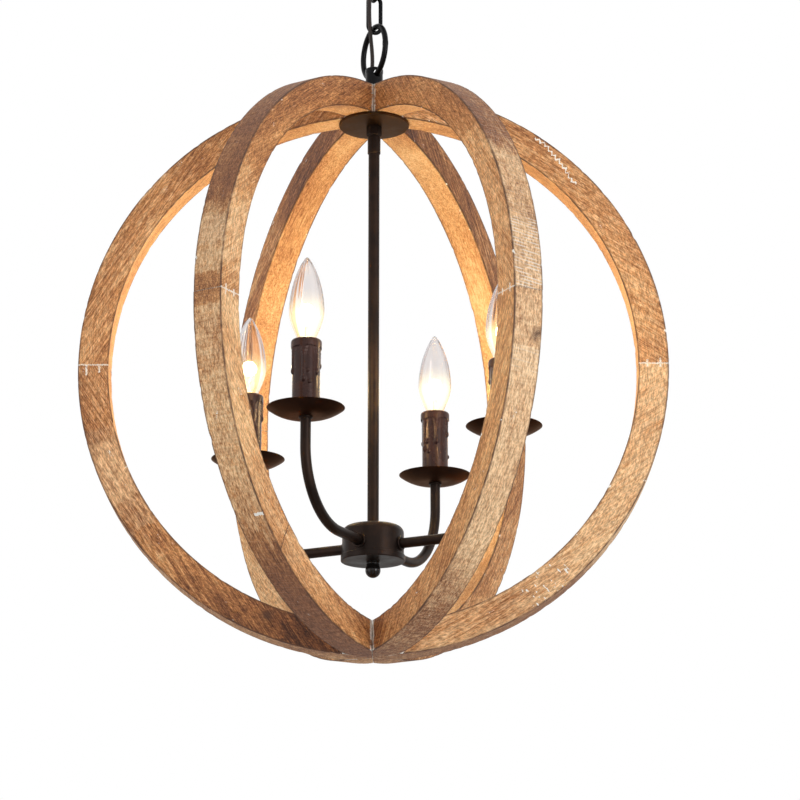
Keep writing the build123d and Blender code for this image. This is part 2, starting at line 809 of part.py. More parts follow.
with BuildPart() as joint_dowels:
    for azimuth in hoop_azimuths:
        turned = Plane(
            origin=(0, 0, orb_z - dowel_length / 2 + dowel_slack),
            x_dir=upright(azimuth).x_dir,
            z_dir=(0, 0, 1),
        )
        with BuildSketch(turned):
            with Locations(*dowel_places):
                Circle(dowel_radius - fit_gap / 2)
        extrude(amount=dowel_length - 2 * dowel_slack)
save(joint_dowels, "joint_dowels")
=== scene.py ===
import math

import bpy
from mathutils import Matrix, Vector, noise


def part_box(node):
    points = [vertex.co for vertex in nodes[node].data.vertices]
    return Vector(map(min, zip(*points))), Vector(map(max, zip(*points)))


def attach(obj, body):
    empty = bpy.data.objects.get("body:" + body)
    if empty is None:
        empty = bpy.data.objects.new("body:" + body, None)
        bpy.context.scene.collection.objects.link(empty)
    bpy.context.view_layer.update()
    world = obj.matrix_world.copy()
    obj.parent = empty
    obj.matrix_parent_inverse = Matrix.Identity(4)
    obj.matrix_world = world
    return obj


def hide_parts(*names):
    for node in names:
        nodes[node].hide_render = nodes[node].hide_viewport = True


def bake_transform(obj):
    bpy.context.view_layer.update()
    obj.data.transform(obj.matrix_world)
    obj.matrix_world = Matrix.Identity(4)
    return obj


# Orb chandelier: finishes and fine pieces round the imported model. Metres, Z up.
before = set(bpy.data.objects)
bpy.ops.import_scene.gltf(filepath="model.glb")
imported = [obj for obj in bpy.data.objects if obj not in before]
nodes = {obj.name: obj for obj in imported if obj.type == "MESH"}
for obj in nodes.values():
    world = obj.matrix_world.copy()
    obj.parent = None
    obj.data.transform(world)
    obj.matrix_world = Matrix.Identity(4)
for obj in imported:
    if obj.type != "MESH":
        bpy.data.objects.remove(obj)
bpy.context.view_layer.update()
print("frame loaded:", len(nodes), "nodes")

# places worked out from the frame
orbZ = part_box("arc_upper_1")[0].z
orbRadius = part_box("arc_upper_1")[1].x
hoopWidth = 2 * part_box("arc_upper_1")[1].y
orbCentre = Vector((0, 0, orbZ))
armTips = []
for number in range(1, 5):
    low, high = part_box(f"drip_pan_{number}")
    armTips.append(((low.x + high.x) / 2, (low.y + high.y) / 2))
armReach = math.hypot(*armTips[0])
armAzimuths = [math.atan2(y, x) for x, y in armTips]


# working helpers

def clearSelection():
    if bpy.context.object and bpy.context.object.mode != "OBJECT":
        bpy.ops.object.mode_set(mode="OBJECT")
    bpy.ops.object.select_all(action="DESELECT")


def pickPiece(piece):
    # makes a piece the only selected one
    clearSelection()
    piece.select_set(True)
    bpy.context.view_layer.objects.active = piece


def openPiece(piece):
    # opens a piece in edit mode, all of it selected
    pickPiece(piece)
    bpy.ops.object.mode_set(mode="EDIT")
    bpy.ops.mesh.select_all(action="SELECT")


def closePiece():
    bpy.ops.mesh.select_all(action="SELECT")
    bpy.ops.mesh.remove_doubles(threshold=0.000002)
    bpy.ops.mesh.normals_make_consistent(inside=False)
    bpy.ops.object.mode_set(mode="OBJECT")


def applyModifiers(piece):
    pickPiece(piece)
    for modifier in list(piece.modifiers):
        bpy.ops.object.modifier_apply(modifier=modifier.name)


def addBevel(piece, width, segments=2, angle=35):
    bevel = piece.modifiers.new("easedEdges", "BEVEL")
    bevel.width = width
    bevel.segments = segments
    bevel.limit_method = "ANGLE"
    bevel.angle_limit = math.radians(angle)
    bevel.miter_outer = "MITER_ARC"


def addSubdivision(piece, levels, simple=False):
    subdivision = piece.modifiers.new("finer", "SUBSURF")
    subdivision.levels = levels
    subdivision.render_levels = levels
    if simple:
        subdivision.subdivision_type = "SIMPLE"


def movePiece(piece, spot=(0, 0, 0), turn=0.0):
    # turns a piece about Z, moves it, and puts both into its mesh
    piece.data.transform(Matrix.Translation(spot) @ Matrix.Rotation(turn, 4, "Z"))


def finishPiece(piece, body, material, replaced=(), smooth=32):
    applyModifiers(piece)
    bpy.ops.object.transform_apply(location=True, rotation=True, scale=True)
    bpy.ops.object.shade_smooth_by_angle(angle=math.radians(smooth))
    piece.data.materials.clear()
    piece.data.materials.append(material)
    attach(piece, body)
    if replaced:
        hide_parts(*replaced)
    clearSelection()
    return piece


def joinPieces(name, pieces):
    clearSelection()
    for piece in pieces:
        piece.select_set(True)
    bpy.context.view_layer.objects.active = pieces[0]
    if len(pieces) > 1:
        bpy.ops.object.join()
    joined = bpy.context.object
    joined.name = name
    return joined


def addObject(name, data):
    made = bpy.data.objects.new(name, data)
    bpy.context.scene.collection.objects.link(made)
    return made


def copyPiece(piece, name):
    twin = piece.copy()
    twin.data = piece.data.copy()
    twin.name = name
    bpy.context.scene.collection.objects.link(twin)
    return twin


def extrude(x, z):
    bpy.ops.mesh.extrude_region_move(TRANSFORM_OT_translate={"value": (x, 0, z)})


def spinOver(steps, angle, x=0.0, z=0.0):
    # spins what is selected about a level axis through x and z
    bpy.ops.mesh.spin(steps=steps, angle=angle, center=(x, 0, z), axis=(0, 1, 0))


def startTube(name, vertices, radius, x, z):
    # a ring, lying flat and open in edit mode, from which a tube is drawn
    clearSelection()
    bpy.ops.mesh.primitive_circle_add(vertices=vertices, radius=radius, location=(x, 0, z))
    piece = bpy.context.object
    piece.name = name
    bpy.ops.object.transform_apply(location=True)
    openPiece(piece)
    return piece


def lifted(outline, z):
    return [(radius, z + up) for radius, up in outline]


def arcPoints(centre, radius, start, end, count):
    # points of a round stretch of an outline, both ends among them, angles in degrees
    points = []
    for step in range(count + 1):
        angle = math.radians(start + (end - start) * step / count)
        points.append((centre[0] + radius * math.cos(angle), centre[1] + radius * math.sin(angle)))
    return points


def turnPiece(name, outline, steps=72):
    # one vertex is extruded along the outline, and the line is spun round the upright axis
    clearSelection()
    bpy.ops.mesh.primitive_plane_add(size=0.01)
    piece = bpy.context.object
    piece.name = name
    bpy.ops.object.mode_set(mode="EDIT")
    bpy.ops.mesh.select_all(action="SELECT")
    bpy.ops.mesh.merge(type="CENTER")
    bpy.ops.transform.translate(value=(outline[0][0], 0, outline[0][1]))
    for (fromRadius, fromZ), (toRadius, toZ) in zip(outline, outline[1:]):
        extrude(toRadius - fromRadius, toZ - fromZ)
    bpy.ops.mesh.select_all(action="SELECT")
    bpy.ops.mesh.spin(steps=steps, angle=math.tau, center=(0, 0, 0), axis=(0, 0, 1))
    closePiece()
    return piece


# node helpers

def place(tree, kind, inputs=None, **settings):
    # adds a node beside the last, and gives each named input a value or a link
    made = tree.nodes.new(kind)
    made.location = (len(tree.nodes) % 8 * 200 - 1500, -(len(tree.nodes) // 8) * 280)
    for key, value in settings.items():
        setattr(made, key, value)
    for key, value in (inputs or {}).items():
        if isinstance(value, bpy.types.NodeSocket):
            tree.links.new(value, made.inputs[key])
        else:
            made.inputs[key].default_value = value
    return made


def treeOf(*values):
    # the node tree of the first link among the values
    return next(value.id_data for value in values if isinstance(value, bpy.types.NodeSocket))


def calc(operation, first, second=0.0, third=0.0):
    inputs = {0: first, 1: second, 2: third}
    tree = treeOf(first, second, third)
    return place(tree, "ShaderNodeMath", inputs, operation=operation).outputs[0]


def plus(value, *others):
    for other in others:
        value = calc("ADD", value, other)
    return value


def times(value, *others):
    for other in others:
        value = calc("MULTIPLY", value, other)
    return value


def minus(first, second):
    return calc("SUBTRACT", first, second)


def size(value):
    return calc("ABSOLUTE", value)


def isBelow(value, limit):
    return calc("LESS_THAN", value, limit)


def isAbove(value, limit):
    return calc("GREATER_THAN", value, limit)


def most(value, *others):
    for other in others:
        value = calc("MAXIMUM", value, other)
    return value


def spread(value, fromLow, fromHigh, toLow=0.0, toHigh=1.0):
    # a value carried from one range to another, and kept inside it
    limits = {0: value, 1: fromLow, 2: fromHigh, 3: toLow, 4: toHigh}
    return place(treeOf(value), "ShaderNodeMapRange", limits).outputs[0]


def sway(value, amount):
    # a noise as a change to either side of nothing
    return spread(value, 0.3, 0.7, -amount, amount)


def choose(share, first, second):
    return place(treeOf(share), "ShaderNodeMix", {0: share, 2: first, 3: second}).outputs[0]


def axes(vector):
    return place(treeOf(vector), "ShaderNodeSeparateXYZ", {0: vector}).outputs


def mixColour(share, first, second, mode="MIX"):
    tree = treeOf(share, first, second)
    made = place(tree, "ShaderNodeMix", {0: share}, data_type="RGBA", blend_type=mode)
    for socket, value in [(made.inputs[6], first), (made.inputs[7], second)]:
        if isinstance(value, bpy.types.NodeSocket):
            tree.links.new(value, socket)
        else:
            socket.default_value = value
    return made.outputs[2]


def cloudy(vector, scale, detail=2.0, roughness=0.5):
    settings = {"Vector": vector, "Scale": scale, "Detail": detail, "Roughness": roughness}
    return place(treeOf(vector), "ShaderNodeTexNoise", settings).outputs[0]


def grain(coordinates, scale, turn=0.0, detail=2.0, roughness=0.5):
    # noise drawn out along one direction
    settings = {"Vector": coordinates, "Scale": scale, "Rotation": (0, 0, math.radians(turn))}
    mapped = place(treeOf(coordinates), "ShaderNodeMapping", settings).outputs[0]
    return cloudy(mapped, 1.0, detail, roughness)


def makeGroup(name, inputs):
    # every group puts out a colour, a roughness and a height
    tree = bpy.data.node_groups.new(name, "ShaderNodeTree")
    for label, value in inputs.items():
        if isinstance(value, float):
            kind = "NodeSocketFloat"
        else:
            kind = "NodeSocketColor" if len(value) == 4 else "NodeSocketVector"
        tree.interface.new_socket(label, in_out="INPUT", socket_type=kind).default_value = value
    for label, kind in [("Color", "Color"), ("Roughness", "Float"), ("Height", "Float")]:
        tree.interface.new_socket(label, in_out="OUTPUT", socket_type="NodeSocket" + kind)
    start = place(tree, "NodeGroupInput")
    end = place(tree, "NodeGroupOutput")
    return tree, start.outputs, end.inputs


def newMaterial(name, **shaderValues):
    # a material, its node tree, and its Principled shader with the values given
    material = bpy.data.materials.new(name)
    material.use_nodes = True
    shader = material.node_tree.nodes["Principled BSDF"]
    for key, value in shaderValues.items():
        shader.inputs[key.replace("_", " ")].default_value = value
    return material, material.node_tree, shader


def makeMaterial(name, group, values, bump, **shaderValues):
    # a Principled material whose colour, roughness and bump come from one node group
    material, tree, shader = newMaterial(name, **shaderValues)
    finish = place(tree, "ShaderNodeGroup", node_tree=group)
    for key, value in values.items():
        finish.inputs[key].default_value = value
    settings = {"Height": finish.outputs["Height"], "Strength": bump[0], "Distance": bump[1]}
    relief = place(tree, "ShaderNodeBump", settings)
    tree.links.new(finish.outputs["Color"], shader.inputs["Base Color"])
    tree.links.new(finish.outputs["Roughness"], shader.inputs["Roughness"])
    tree.links.new(relief.outputs[0], shader.inputs["Normal"])
    return material


# finishes

wood = {
    "shades": [
        (0.00, (0.070, 0.026, 0.012, 1)),
        (0.22, (0.215, 0.082, 0.032, 1)),
        (0.46, (0.450, 0.205, 0.076, 1)),
        (0.68, (0.640, 0.345, 0.145, 1)),
        (1.00, (0.850, 0.600, 0.330, 1)),
    ],
    "wash": (0.850, 0.640, 0.415, 1),
    "stained": (0.225, 0.095, 0.048, 1),
    "filler": (0.920, 0.880, 0.810, 1),
    "gritLow": (0.56, 0.47, 0.39, 1),
    "gritHigh": (1.34, 1.28, 1.20, 1),
    "edgeShade": (0.085, 0.036, 0.018, 1),
    "edgeInner": 0.0006,
    "edgeOuter": 0.0021,
    "nickReach": 0.0022,
    "tornEdge": 0.0015,
    "tornDepth": 0.0022,
    "ragged": 0.0006,
    "seamLine": 0.0006,
    "tickWidth": 0.0009,
    "tickPlaces": [-0.0058, 0.0062],
    "mitreLine": 0.0017,
    "kerfPitch": 0.0027,
    "dashWidth": 0.0014,
    "dashLength": 0.0045,
    "splitWidth": 0.0005,
    "splitLean": 0.25,
    "knotEye": 0.0012,
    "knotSize": 0.0075,
    "knotRings": 4200.0,
    "crackMiddle": 0.222,
    "crackHalf": 0.029,
    "crackPitch": 0.0026,
    "crackPath": (0.195, 0.250, -0.0010, 0.0095),   # along from and to, across from and to
    "crackWidth": (0.0004, 0.0017),
}
# what each arc can set; a place at 9 lies off the board
woodInputs = {
    "Tone": 0.5, "InnerToneAndBulbLight": 0.6, "Wash": 0.3, "Stain": 0.5, "StainFrom": 0.2, "StainOver": 0.03,
    "Kerf": 0.2, "Ticks": 0.0, "Streak": 0.0, "Split": 9.0, "Pale": (9.0, 9.0, 0.0),
    "SidePale": (9.0, 9.0, 1.0), "Bare": (9.0, 9.0, 0.0), "Rub": 1.0, "SideTone": 0.0,
    "SideWash": 0.35, "OuterStain": 1.0, "Pits": (9.0, 9.0, 1.0), "Knot": (9.0, 0.0, 0.0),
    "Dash": (9.0, 0.0, 0.0),
}


def makeSawnWood():
    # straight-grained board with saw strokes, stain, pale wash, dark edges and white filler
    tree, given, result = makeGroup("sawnWood", woodInputs)
    board, along, edges = [
        place(tree, "ShaderNodeAttribute", attribute_name=name).outputs["Vector"]
        for name in ("board", "along", "edges")
    ]
    arcLength, across, radial = axes(along)
    rim, mitre, kind = axes(edges)
    curved = isAbove(size(kind), 0.5)
    outer = isAbove(kind, 0.5)
    inner = isBelow(kind, -0.5)
    side = minus(1.0, curved)
    reach = size(arcLength)

    fibre = grain(board, (60, 1150, 1150), roughness=0.6)
    streaks = grain(board, (18, 460, 460), roughness=0.6)
    grit = grain(along, (240, 760, 760), roughness=0.7)
    fine = grain(board, (500, 1500, 1500), detail=1)
    sawSide = grain(board, (26, 400, 400), turn=48, detail=1)
    sawCurved = grain(along, (520, 24, 60), detail=1)
    patch = grain(board, (8, 34, 34), detail=3)
    broad = grain(board, (6, 9, 9), detail=1)
    mottle = grain(along, (120, 200, 200), detail=3, roughness=0.6)
    worn = grain(along, (55, 110, 110), detail=3)
    pitted = grain(along, (420, 150, 150), detail=1)

    def between(ends):
        # 1 between two places along the arc, torn at its ends, outside or, at 1, on the sides
        first, last, onSides = axes(ends)
        torn = plus(arcLength, sway(mottle, wood["tornDepth"]))
        after = spread(minus(torn, first), -wood["tornEdge"], wood["tornEdge"])
        before = spread(minus(last, torn), -wood["tornEdge"], wood["tornEdge"])
        return times(after, before, choose(onSides, outer, side))

    pale = between(given["Pale"])
    sidePale = between(given["SidePale"])
    bare = times(between(given["Bare"]), given["Rub"])

    # tone: slow patches, streaks, fibres and saw strokes, then the arc's own; the inner faces are
    # lighter, partly their own tone and partly painted light from the bulbs
    tone = plus(sway(patch, 0.15), spread(broad, 0.35, 0.65, -0.06, 0.06), sway(mottle, 0.06))
    tone = plus(tone, sway(streaks, 0.09), sway(fibre, 0.20), sway(fine, 0.12))
    saw = choose(curved, sawSide, sawCurved)
    strokes = times(spread(saw, 0.35, 0.65, -0.12, 0.12), spread(broad, 0.42, 0.58, 0.2, 1.0))
    strokes = times(strokes, spread(inner, 0, 1, 1.0, 0.25))
    tone = times(plus(tone, strokes), spread(inner, 0, 1, 1.0, 1.1))
    tone = plus(tone, choose(inner, given["Tone"], given["InnerToneAndBulbLight"]))
    tone = minus(tone, times(bare, 0.12))
    tone = plus(tone, times(side, given["SideTone"]), times(sidePale, 0.10))

    # stain towards the poles, sooner and darker on the outer faces
    begins = plus(given["StainFrom"], times(side, 0.05))
    past = minus(plus(reach, sway(worn, 0.010)), begins)
    stain = times(spread(past, 0.0, given["StainOver"]), given["Stain"])
    stain = times(stain, spread(side, 0, 1, 1.0, 0.7), spread(inner, 0, 1, 1.0, 0.25))
    stain = times(stain, choose(outer, 1.0, given["OuterStain"]))
    tone = minus(tone, times(stain, 0.26))
    ramp = place(tree, "ShaderNodeValToRGB", {0: tone})
    stops = ramp.color_ramp.elements
    stops.remove(stops[1])
    stops[0].position, stops[0].color = wood["shades"][0]
    for position, shade in wood["shades"][1:]:
        stops.new(position).color = shade
    stainedShare = times(stain, spread(outer, 0, 1, 0.0, 0.45))
    colour = mixColour(stainedShare, ramp.outputs[0], wood["stained"])

    # the wash stays in the grain, thicker in some patches, and is rubbed off the stained ends
    washed = plus(sway(mottle, 0.22), sway(streaks, 0.25), sway(fibre, 0.20))
    washed = plus(washed, spread(patch, 0.35, 0.65, -0.12, 0.12))
    washed = plus(washed, times(given["Wash"], choose(outer, given["SideWash"], 1.0)))
    washed = minus(minus(washed, times(stain, 0.7)), times(bare, 0.5))
    washed = plus(washed, times(plus(pale, sidePale), 0.25))
    washed = times(washed, spread(inner, 0, 1, 1.0, 0.0))
    colour = mixColour(spread(washed, 0.0, 1.0, 0.0, 0.80), colour, wood["wash"])
    gritty = mixColour(spread(grit, 0.34, 0.66), wood["gritLow"], wood["gritHigh"])
    gritty = mixColour(times(inner, 0.7), gritty, (1, 1, 1, 1))
    colour = mixColour(1.0, colour, gritty, mode="MULTIPLY")

    # kerfs of the band saw, straight across the outer faces and full of wash
    lean = plus(arcLength, times(across, 0.12), sway(broad, 0.004))
    kerf = calc("SINE", times(lean, math.tau / wood["kerfPitch"]))
    kerf = times(spread(kerf, 0.0, 0.9), spread(sawCurved, 0.40, 0.56), given["Kerf"])
    kerf = times(kerf, outer, spread(pale, 0, 1, 0.25, 1.0))
    colour = mixColour(times(kerf, 0.6), colour, wood["filler"])

    # brown lines along the edges, nicked here and there
    line = spread(rim, wood["edgeInner"], wood["edgeOuter"], 1.0, 0.0)
    line = times(line, spread(worn, 0.32, 0.54, 0.45, 0.98))
    colour = mixColour(line, colour, wood["edgeShade"])
    nicks = times(isBelow(rim, wood["nickReach"]), isAbove(mottle, 0.72))
    flecks = times(spread(worn, 0.70, 0.74), isAbove(fine, 0.60))
    pits = times(between(given["Pits"]), isAbove(pitted, 0.66))
    flecks = most(nicks, flecks, pits)
    colour = mixColour(flecks, colour, wood["filler"])

    # knot: a dark eye in darker rings
    inputs = {0: along, 1: given["Knot"]}
    off = place(tree, "ShaderNodeVectorMath", inputs, operation="DISTANCE").outputs["Value"]
    off = plus(off, sway(mottle, wood["tornDepth"]))
    eye = spread(off, wood["knotEye"], wood["knotSize"], 1.0, 0.0)
    rings = calc("SINE", times(off, wood["knotRings"]))
    eye = times(eye, spread(rings, -1, 1, 0.55, 1.0))
    colour = mixColour(eye, colour, wood["edgeShade"])

    # filler in the mitres and on the equator seam, which has two short runs and is a thin
    # dark line outside
    ragged = sway(fibre, wood["ragged"])
    seam = isBelow(plus(reach, ragged), wood["seamLine"])
    colour = mixColour(times(seam, curved, 0.45), colour, wood["edgeShade"])
    length = times(given["Ticks"], spread(worn, 0.4, 0.6, 0.75, 1.2))
    short = isBelow(reach, length)
    for offset in wood["tickPlaces"]:
        beside = size(minus(plus(radial, ragged), offset))
        run = times(isBelow(beside, wood["tickWidth"]), short)
        seam = most(seam, run)
    seam = times(seam, side, spread(fine, 0.36, 0.46, 0.35, 1.0))
    corner = isBelow(plus(mitre, ragged), wood["mitreLine"])
    corner = times(corner, side, spread(mottle, 0.38, 0.52, 0.1, 0.95))
    colour = mixColour(times(most(seam, corner), 0.9), colour, wood["filler"])

    # a dash of filler on the outer face, and a thin split across the sides
    inputs = {0: along, 1: given["Dash"]}
    fromDash = place(tree, "ShaderNodeVectorMath", inputs, operation="SUBTRACT").outputs[0]
    dashAlong, dashAcross, _ = axes(fromDash)
    dash = isBelow(size(plus(dashAlong, ragged)), wood["dashWidth"])
    dash = times(dash, isBelow(size(dashAcross), wood["dashLength"]))
    colour = mixColour(times(dash, outer), colour, wood["filler"])
    offSplit = minus(plus(arcLength, times(radial, wood["splitLean"])), given["Split"])
    split = isBelow(size(plus(offSplit, ragged)), wood["splitWidth"])
    colour = mixColour(times(split, side), colour, wood["edgeShade"])

    # one jagged filled crack, on the arc that has it
    zigzag = times(calc("PINGPONG", plus(arcLength, ragged), wood["crackPitch"]), 1.1)
    wander = plus(spread(arcLength, *wood["crackPath"]), sway(worn, 0.002))
    offLine = size(minus(radial, plus(wander, zigzag)))
    crack = isBelow(offLine, spread(mottle, 0.35, 0.65, *wood["crackWidth"]))
    crack = times(crack, calc("COMPARE", arcLength, wood["crackMiddle"], wood["crackHalf"]))
    colour = mixColour(times(crack, side, given["Streak"]), colour, wood["filler"])

    height = minus(plus(times(saw, 0.4), times(fibre, 0.6)), times(line, 0.25))
    tree.links.new(colour, result["Color"])
    tree.links.new(spread(fibre, 0.3, 0.7, 0.75, 0.55), result["Roughness"])
    tree.links.new(height, result["Height"])
    return tree


def makeAgedCoat():
    # painted or rubbed metal: cloudy colour, fine orange peel and a few dull spots
    inputs = {"Colour": (0.03, 0.025, 0.02, 1), "Rubbed": (0.08, 0.04, 0.025, 1)}
    inputs |= {"Amount": 0.5, "Dull": 0.45, "Size": 60.0}
    tree, given, result = makeGroup("agedCoat", inputs)
    spot = place(tree, "ShaderNodeTexCoord").outputs["Object"]
    cloud = cloudy(spot, given["Size"], detail=4.0, roughness=0.6)
    peel = cloudy(spot, 900.0)
    share = times(spread(cloud, 0.42, 0.68), given["Amount"])
    tree.links.new(mixColour(share, given["Colour"], given["Rubbed"]), result["Color"])
    dull = plus(given["Dull"], spread(cloud, 0.3, 0.7, -0.08, 0.1))
    tree.links.new(dull, result["Roughness"])
    tree.links.new(peel, result["Height"])
    return tree


sawnWood = makeSawnWood()
agedCoat = makeAgedCoat()

# each arc's own look, from the right-hand one round by the back: its basics, then the rest
# the inner tone also holds painted light from the bulbs
arcBasics = ["Tone", "InnerToneAndBulbLight", "Wash", "Stain", "StainFrom"]
arcFinish = {
    "upper": [
        ((0.62, 0.66, 0.25, 0.15, 0.3), {"Ticks": 0.0045, "Streak": 1.0}),
        ((0.44, 0.74, 0.05, 0.7, 0.16), {}),
        ((0.46, 0.66, 0.05, 0.8, 0.16), {}),
        ((0.56, 0.7, 0.22, 0.4, 0.2), {}),
        ((0.68, 0.66, 0.38, 1.1, 0.065), {
            "SideWash": 0.45, "SideTone": 0.03, "Kerf": 0.1, "Ticks": 0.004,
            "Pale": (0.04, 0.066, 0.0), "SidePale": (0.02, 0.088, 1.0),
            "Bare": (-0.01, 0.014, 0.0), "Rub": 1.3,
        }),
        ((0.62, 0.7, 0.56, 1.1, 0.125), {
            "SideTone": 0.04, "Kerf": 1.0, "Ticks": 0.004, "Pale": (-0.01, 0.062, 0.0),
        }),
    ],
    "lower": [
        ((0.74, 0.66, 0.6, 0.3, 0.18), {
            "SideWash": 0.75, "OuterStain": 3.5, "Ticks": 0.0045,
            "Pits": (-0.262, -0.212, 1.0),
        }),
        ((0.6, 0.74, 0.15, 0.25, 0.2), {}),
        ((0.78, 0.6, 0.0, 0.3, 0.3), {}),
        ((0.5, 0.7, 0.18, 1.65, 0.12), {
            "StainOver": 0.17, "Ticks": 0.0085, "Pale": (-0.165, -0.062, 1.0),
            "SidePale": (-0.135, -0.075, 1.0), "OuterStain": 0.1,
            "Knot": (-0.308, 0.014, -0.004),
        }),
        ((0.68, 0.66, 0.36, 1.2, 0.19), {
            "SideWash": 0.45, "SideTone": 0.02, "StainOver": 0.09, "OuterStain": 1.3,
            "Kerf": 0.2, "Ticks": 0.004, "SidePale": (-0.09, -0.004, 1.0),
            "Bare": (-0.012, 0.01, 0.0), "Rub": 1.3, "Dash": (-0.19, 0.009, 0.014),
            "Split": -0.222,
        }),
        ((0.65, 0.66, 0.8, 1.1, 0.215), {
            "SideWash": -0.3, "StainOver": 0.08, "Kerf": 0.3, "Ticks": 0.004,
            "Pale": (-0.07, -0.048, 0.0), "Bare": (-0.048, 0.01, 0.0), "Rub": 0.4,
            "SideTone": -0.05, "Knot": (-0.037, 0.009, 0.014),
        }),
    ],
}


def coat(name, colour, rubbed, amount, dull, scale, bump, **shaderValues):
    # scale is that of the clouds; bump is its strength and distance
    values = {"Colour": (*colour, 1), "Rubbed": (*rubbed, 1), "Amount": amount}
    values |= {"Dull": dull, "Size": scale}
    return makeMaterial(name, agedCoat, values, bump, **shaderValues)


darkMetal = {"Metallic": 0.85, "Specular_IOR_Level": 0.3}
bronze = coat(
    "oilRubbedBronze", (0.019, 0.013, 0.011), (0.042, 0.024, 0.017), 0.55, 0.42, 55.0,
    (0.12, 0.0002), **darkMetal,
)
# a lighter, redder copy of the bronze for the plate: painted light from the bulbs below it
plateBronzePaintedLight = coat(
    "plateBronzePaintedLight", (0.036, 0.018, 0.008), (0.085, 0.037, 0.015), 0.55, 0.42, 55.0, (0.12, 0.0002),
    Specular_Tint=(1.0, 0.80, 0.68, 1), **darkMetal,
)
# a darker copy of the bronze for the pans' undersides: painted shade
panBronzePaintedShade = coat(
    "panBronzePaintedShade", (0.014, 0.006, 0.004), (0.036, 0.014, 0.007), 0.55, 0.42, 55.0, (0.12, 0.0002),
    Specular_Tint=(1.0, 0.70, 0.55, 1), **darkMetal,
)
blackIron = coat(
    "blackIron", (0.008, 0.008, 0.009), (0.02, 0.019, 0.019), 0.5, 0.34, 90.0, (0.15, 0.0002),
    **darkMetal,
)
blackGloss = coat(
    "blackGloss", (0.007, 0.006, 0.006), (0.014, 0.011, 0.010), 0.4, 0.16, 90.0, (0.05, 0.0002),
    Metallic=0.2, Specular_IOR_Level=0.4,
)
darkWax = coat(
    "darkWax", (0.026, 0.013, 0.012), (0.060, 0.022, 0.015), 0.7, 0.27, 45.0, (0.10, 0.0003),
    Specular_IOR_Level=0.32, Specular_Tint=(1.0, 0.74, 0.68, 1),
)
zincSteel = coat(
    "zincSteel", (0.50, 0.51, 0.53), (0.66, 0.66, 0.66), 0.7, 0.30, 120.0, (0.10, 0.0001),
    Metallic=1.0,
)
greenScrew = coat(
    "greenScrew", (0.03, 0.22, 0.08), (0.06, 0.30, 0.12), 0.5, 0.35, 200.0, (0.10, 0.0001),
    Metallic=0.6,
)
brassShell = coat(
    "brassShell", (0.66, 0.50, 0.24), (0.78, 0.64, 0.36), 0.6, 0.26, 150.0, (0.08, 0.0001),
    Metallic=1.0,
)
phenolic = coat(
    "phenolic", (0.025, 0.023, 0.022), (0.05, 0.045, 0.04), 0.4, 0.45, 100.0, (0.10, 0.0002),
)
brownCord = coat(
    "brownCord", (0.014, 0.007, 0.005), (0.040, 0.020, 0.014), 0.6, 0.42, 160.0, (0.25, 0.0003),
    Specular_IOR_Level=0.35,
)
dowelWood = coat(
    "dowelWood", (0.52, 0.36, 0.20), (0.66, 0.50, 0.32), 0.8, 0.62, 240.0, (0.20, 0.0003),
)
print("finishes made")


# wooden orb

hoop = {
    "strips": 8,          # over each side of the square section
    "steps": 110,         # along a quarter turn
    "edgeRound": 0.0011,
    "waviness": 0.0004,   # slow unevenness of the hand-sawn faces
    "waveScale": 22,
    "chipDepth": 0.0004,
    "chipScale": 150,
    "chipFrom": 0.15,
    "chipReach": 0.0022,
    "calmCore": 0.010,    # nearer than this to the middle of the section, less moves
    "grainTurns": [12, -9, 7, -12, 10, -6, 14, -8, 9, -11, 6, -13],
}
hoopDepth = hoopWidth  # the section is square
middleRadius = orbRadius - hoopDepth / 2
mitreHalf = math.radians(30)


def sawArc(name, level):
    # a square section spun a quarter turn and mitred at the pole, in the plane of azimuth 0
    clearSelection()
    bpy.ops.mesh.primitive_grid_add(
        x_subdivisions=hoop["strips"], y_subdivisions=hoop["strips"], size=hoopDepth,
        location=(middleRadius, 0, 0),
    )
    piece = bpy.context.object
    piece.name = name
    bpy.ops.object.transform_apply(location=True)
    openPiece(piece)
    sense = 1 if level == "upper" else -1
    spinOver(hoop["steps"], sense * math.pi / 2)
    for side in (1, -1):
        bpy.ops.mesh.select_all(action="SELECT")
        normal = (-math.sin(mitreHalf), side * math.cos(mitreHalf), 0)
        bpy.ops.mesh.bisect(plane_co=(0, 0, 0), plane_no=normal, clear_outer=True, use_fill=True)
    bpy.ops.mesh.select_all(action="DESELECT")
    bpy.ops.mesh.select_non_manifold(
        extend=False, use_wire=False, use_boundary=True, use_multi_face=False,
        use_non_contiguous=False, use_verts=False,
    )
    bpy.ops.mesh.edge_face_add()
    closePiece()
    addBevel(piece, hoop["edgeRound"], angle=50)
    addSubdivision(piece, 1, simple=True)
    applyModifiers(piece)
    return piece


def wearArc(piece, seed):
    # slow waviness and small chips along the edges, both cut inwards only
    for vertex in piece.data.vertices:
        x, y, z = vertex.co
        radius = math.hypot(x, z)
        rim = min(hoopDepth / 2 - abs(radius - middleRadius), hoopWidth / 2 - abs(y))
        spot = Vector((x + seed, y, z)) * hoop["waveScale"]
        shrink = hoop["waviness"] * (0.5 + 0.5 * noise.noise(spot))
        if rim < hoop["chipReach"]:
            chip = noise.noise(Vector((x, y + seed, z)) * hoop["chipScale"])
            chip = max(0.0, chip - hoop["chipFrom"])
            shrink += hoop["chipDepth"] * chip * (1 - rim / hoop["chipReach"]) * 2
        off = radius - middleRadius
        moved = radius - math.copysign(shrink, off) * min(1, abs(off) / hoop["calmCore"])
        vertex.co.x = x * moved / radius
        vertex.co.z = z * moved / radius
        vertex.co.y = y - math.copysign(shrink, y) * min(1, abs(y) / hoop["calmCore"])


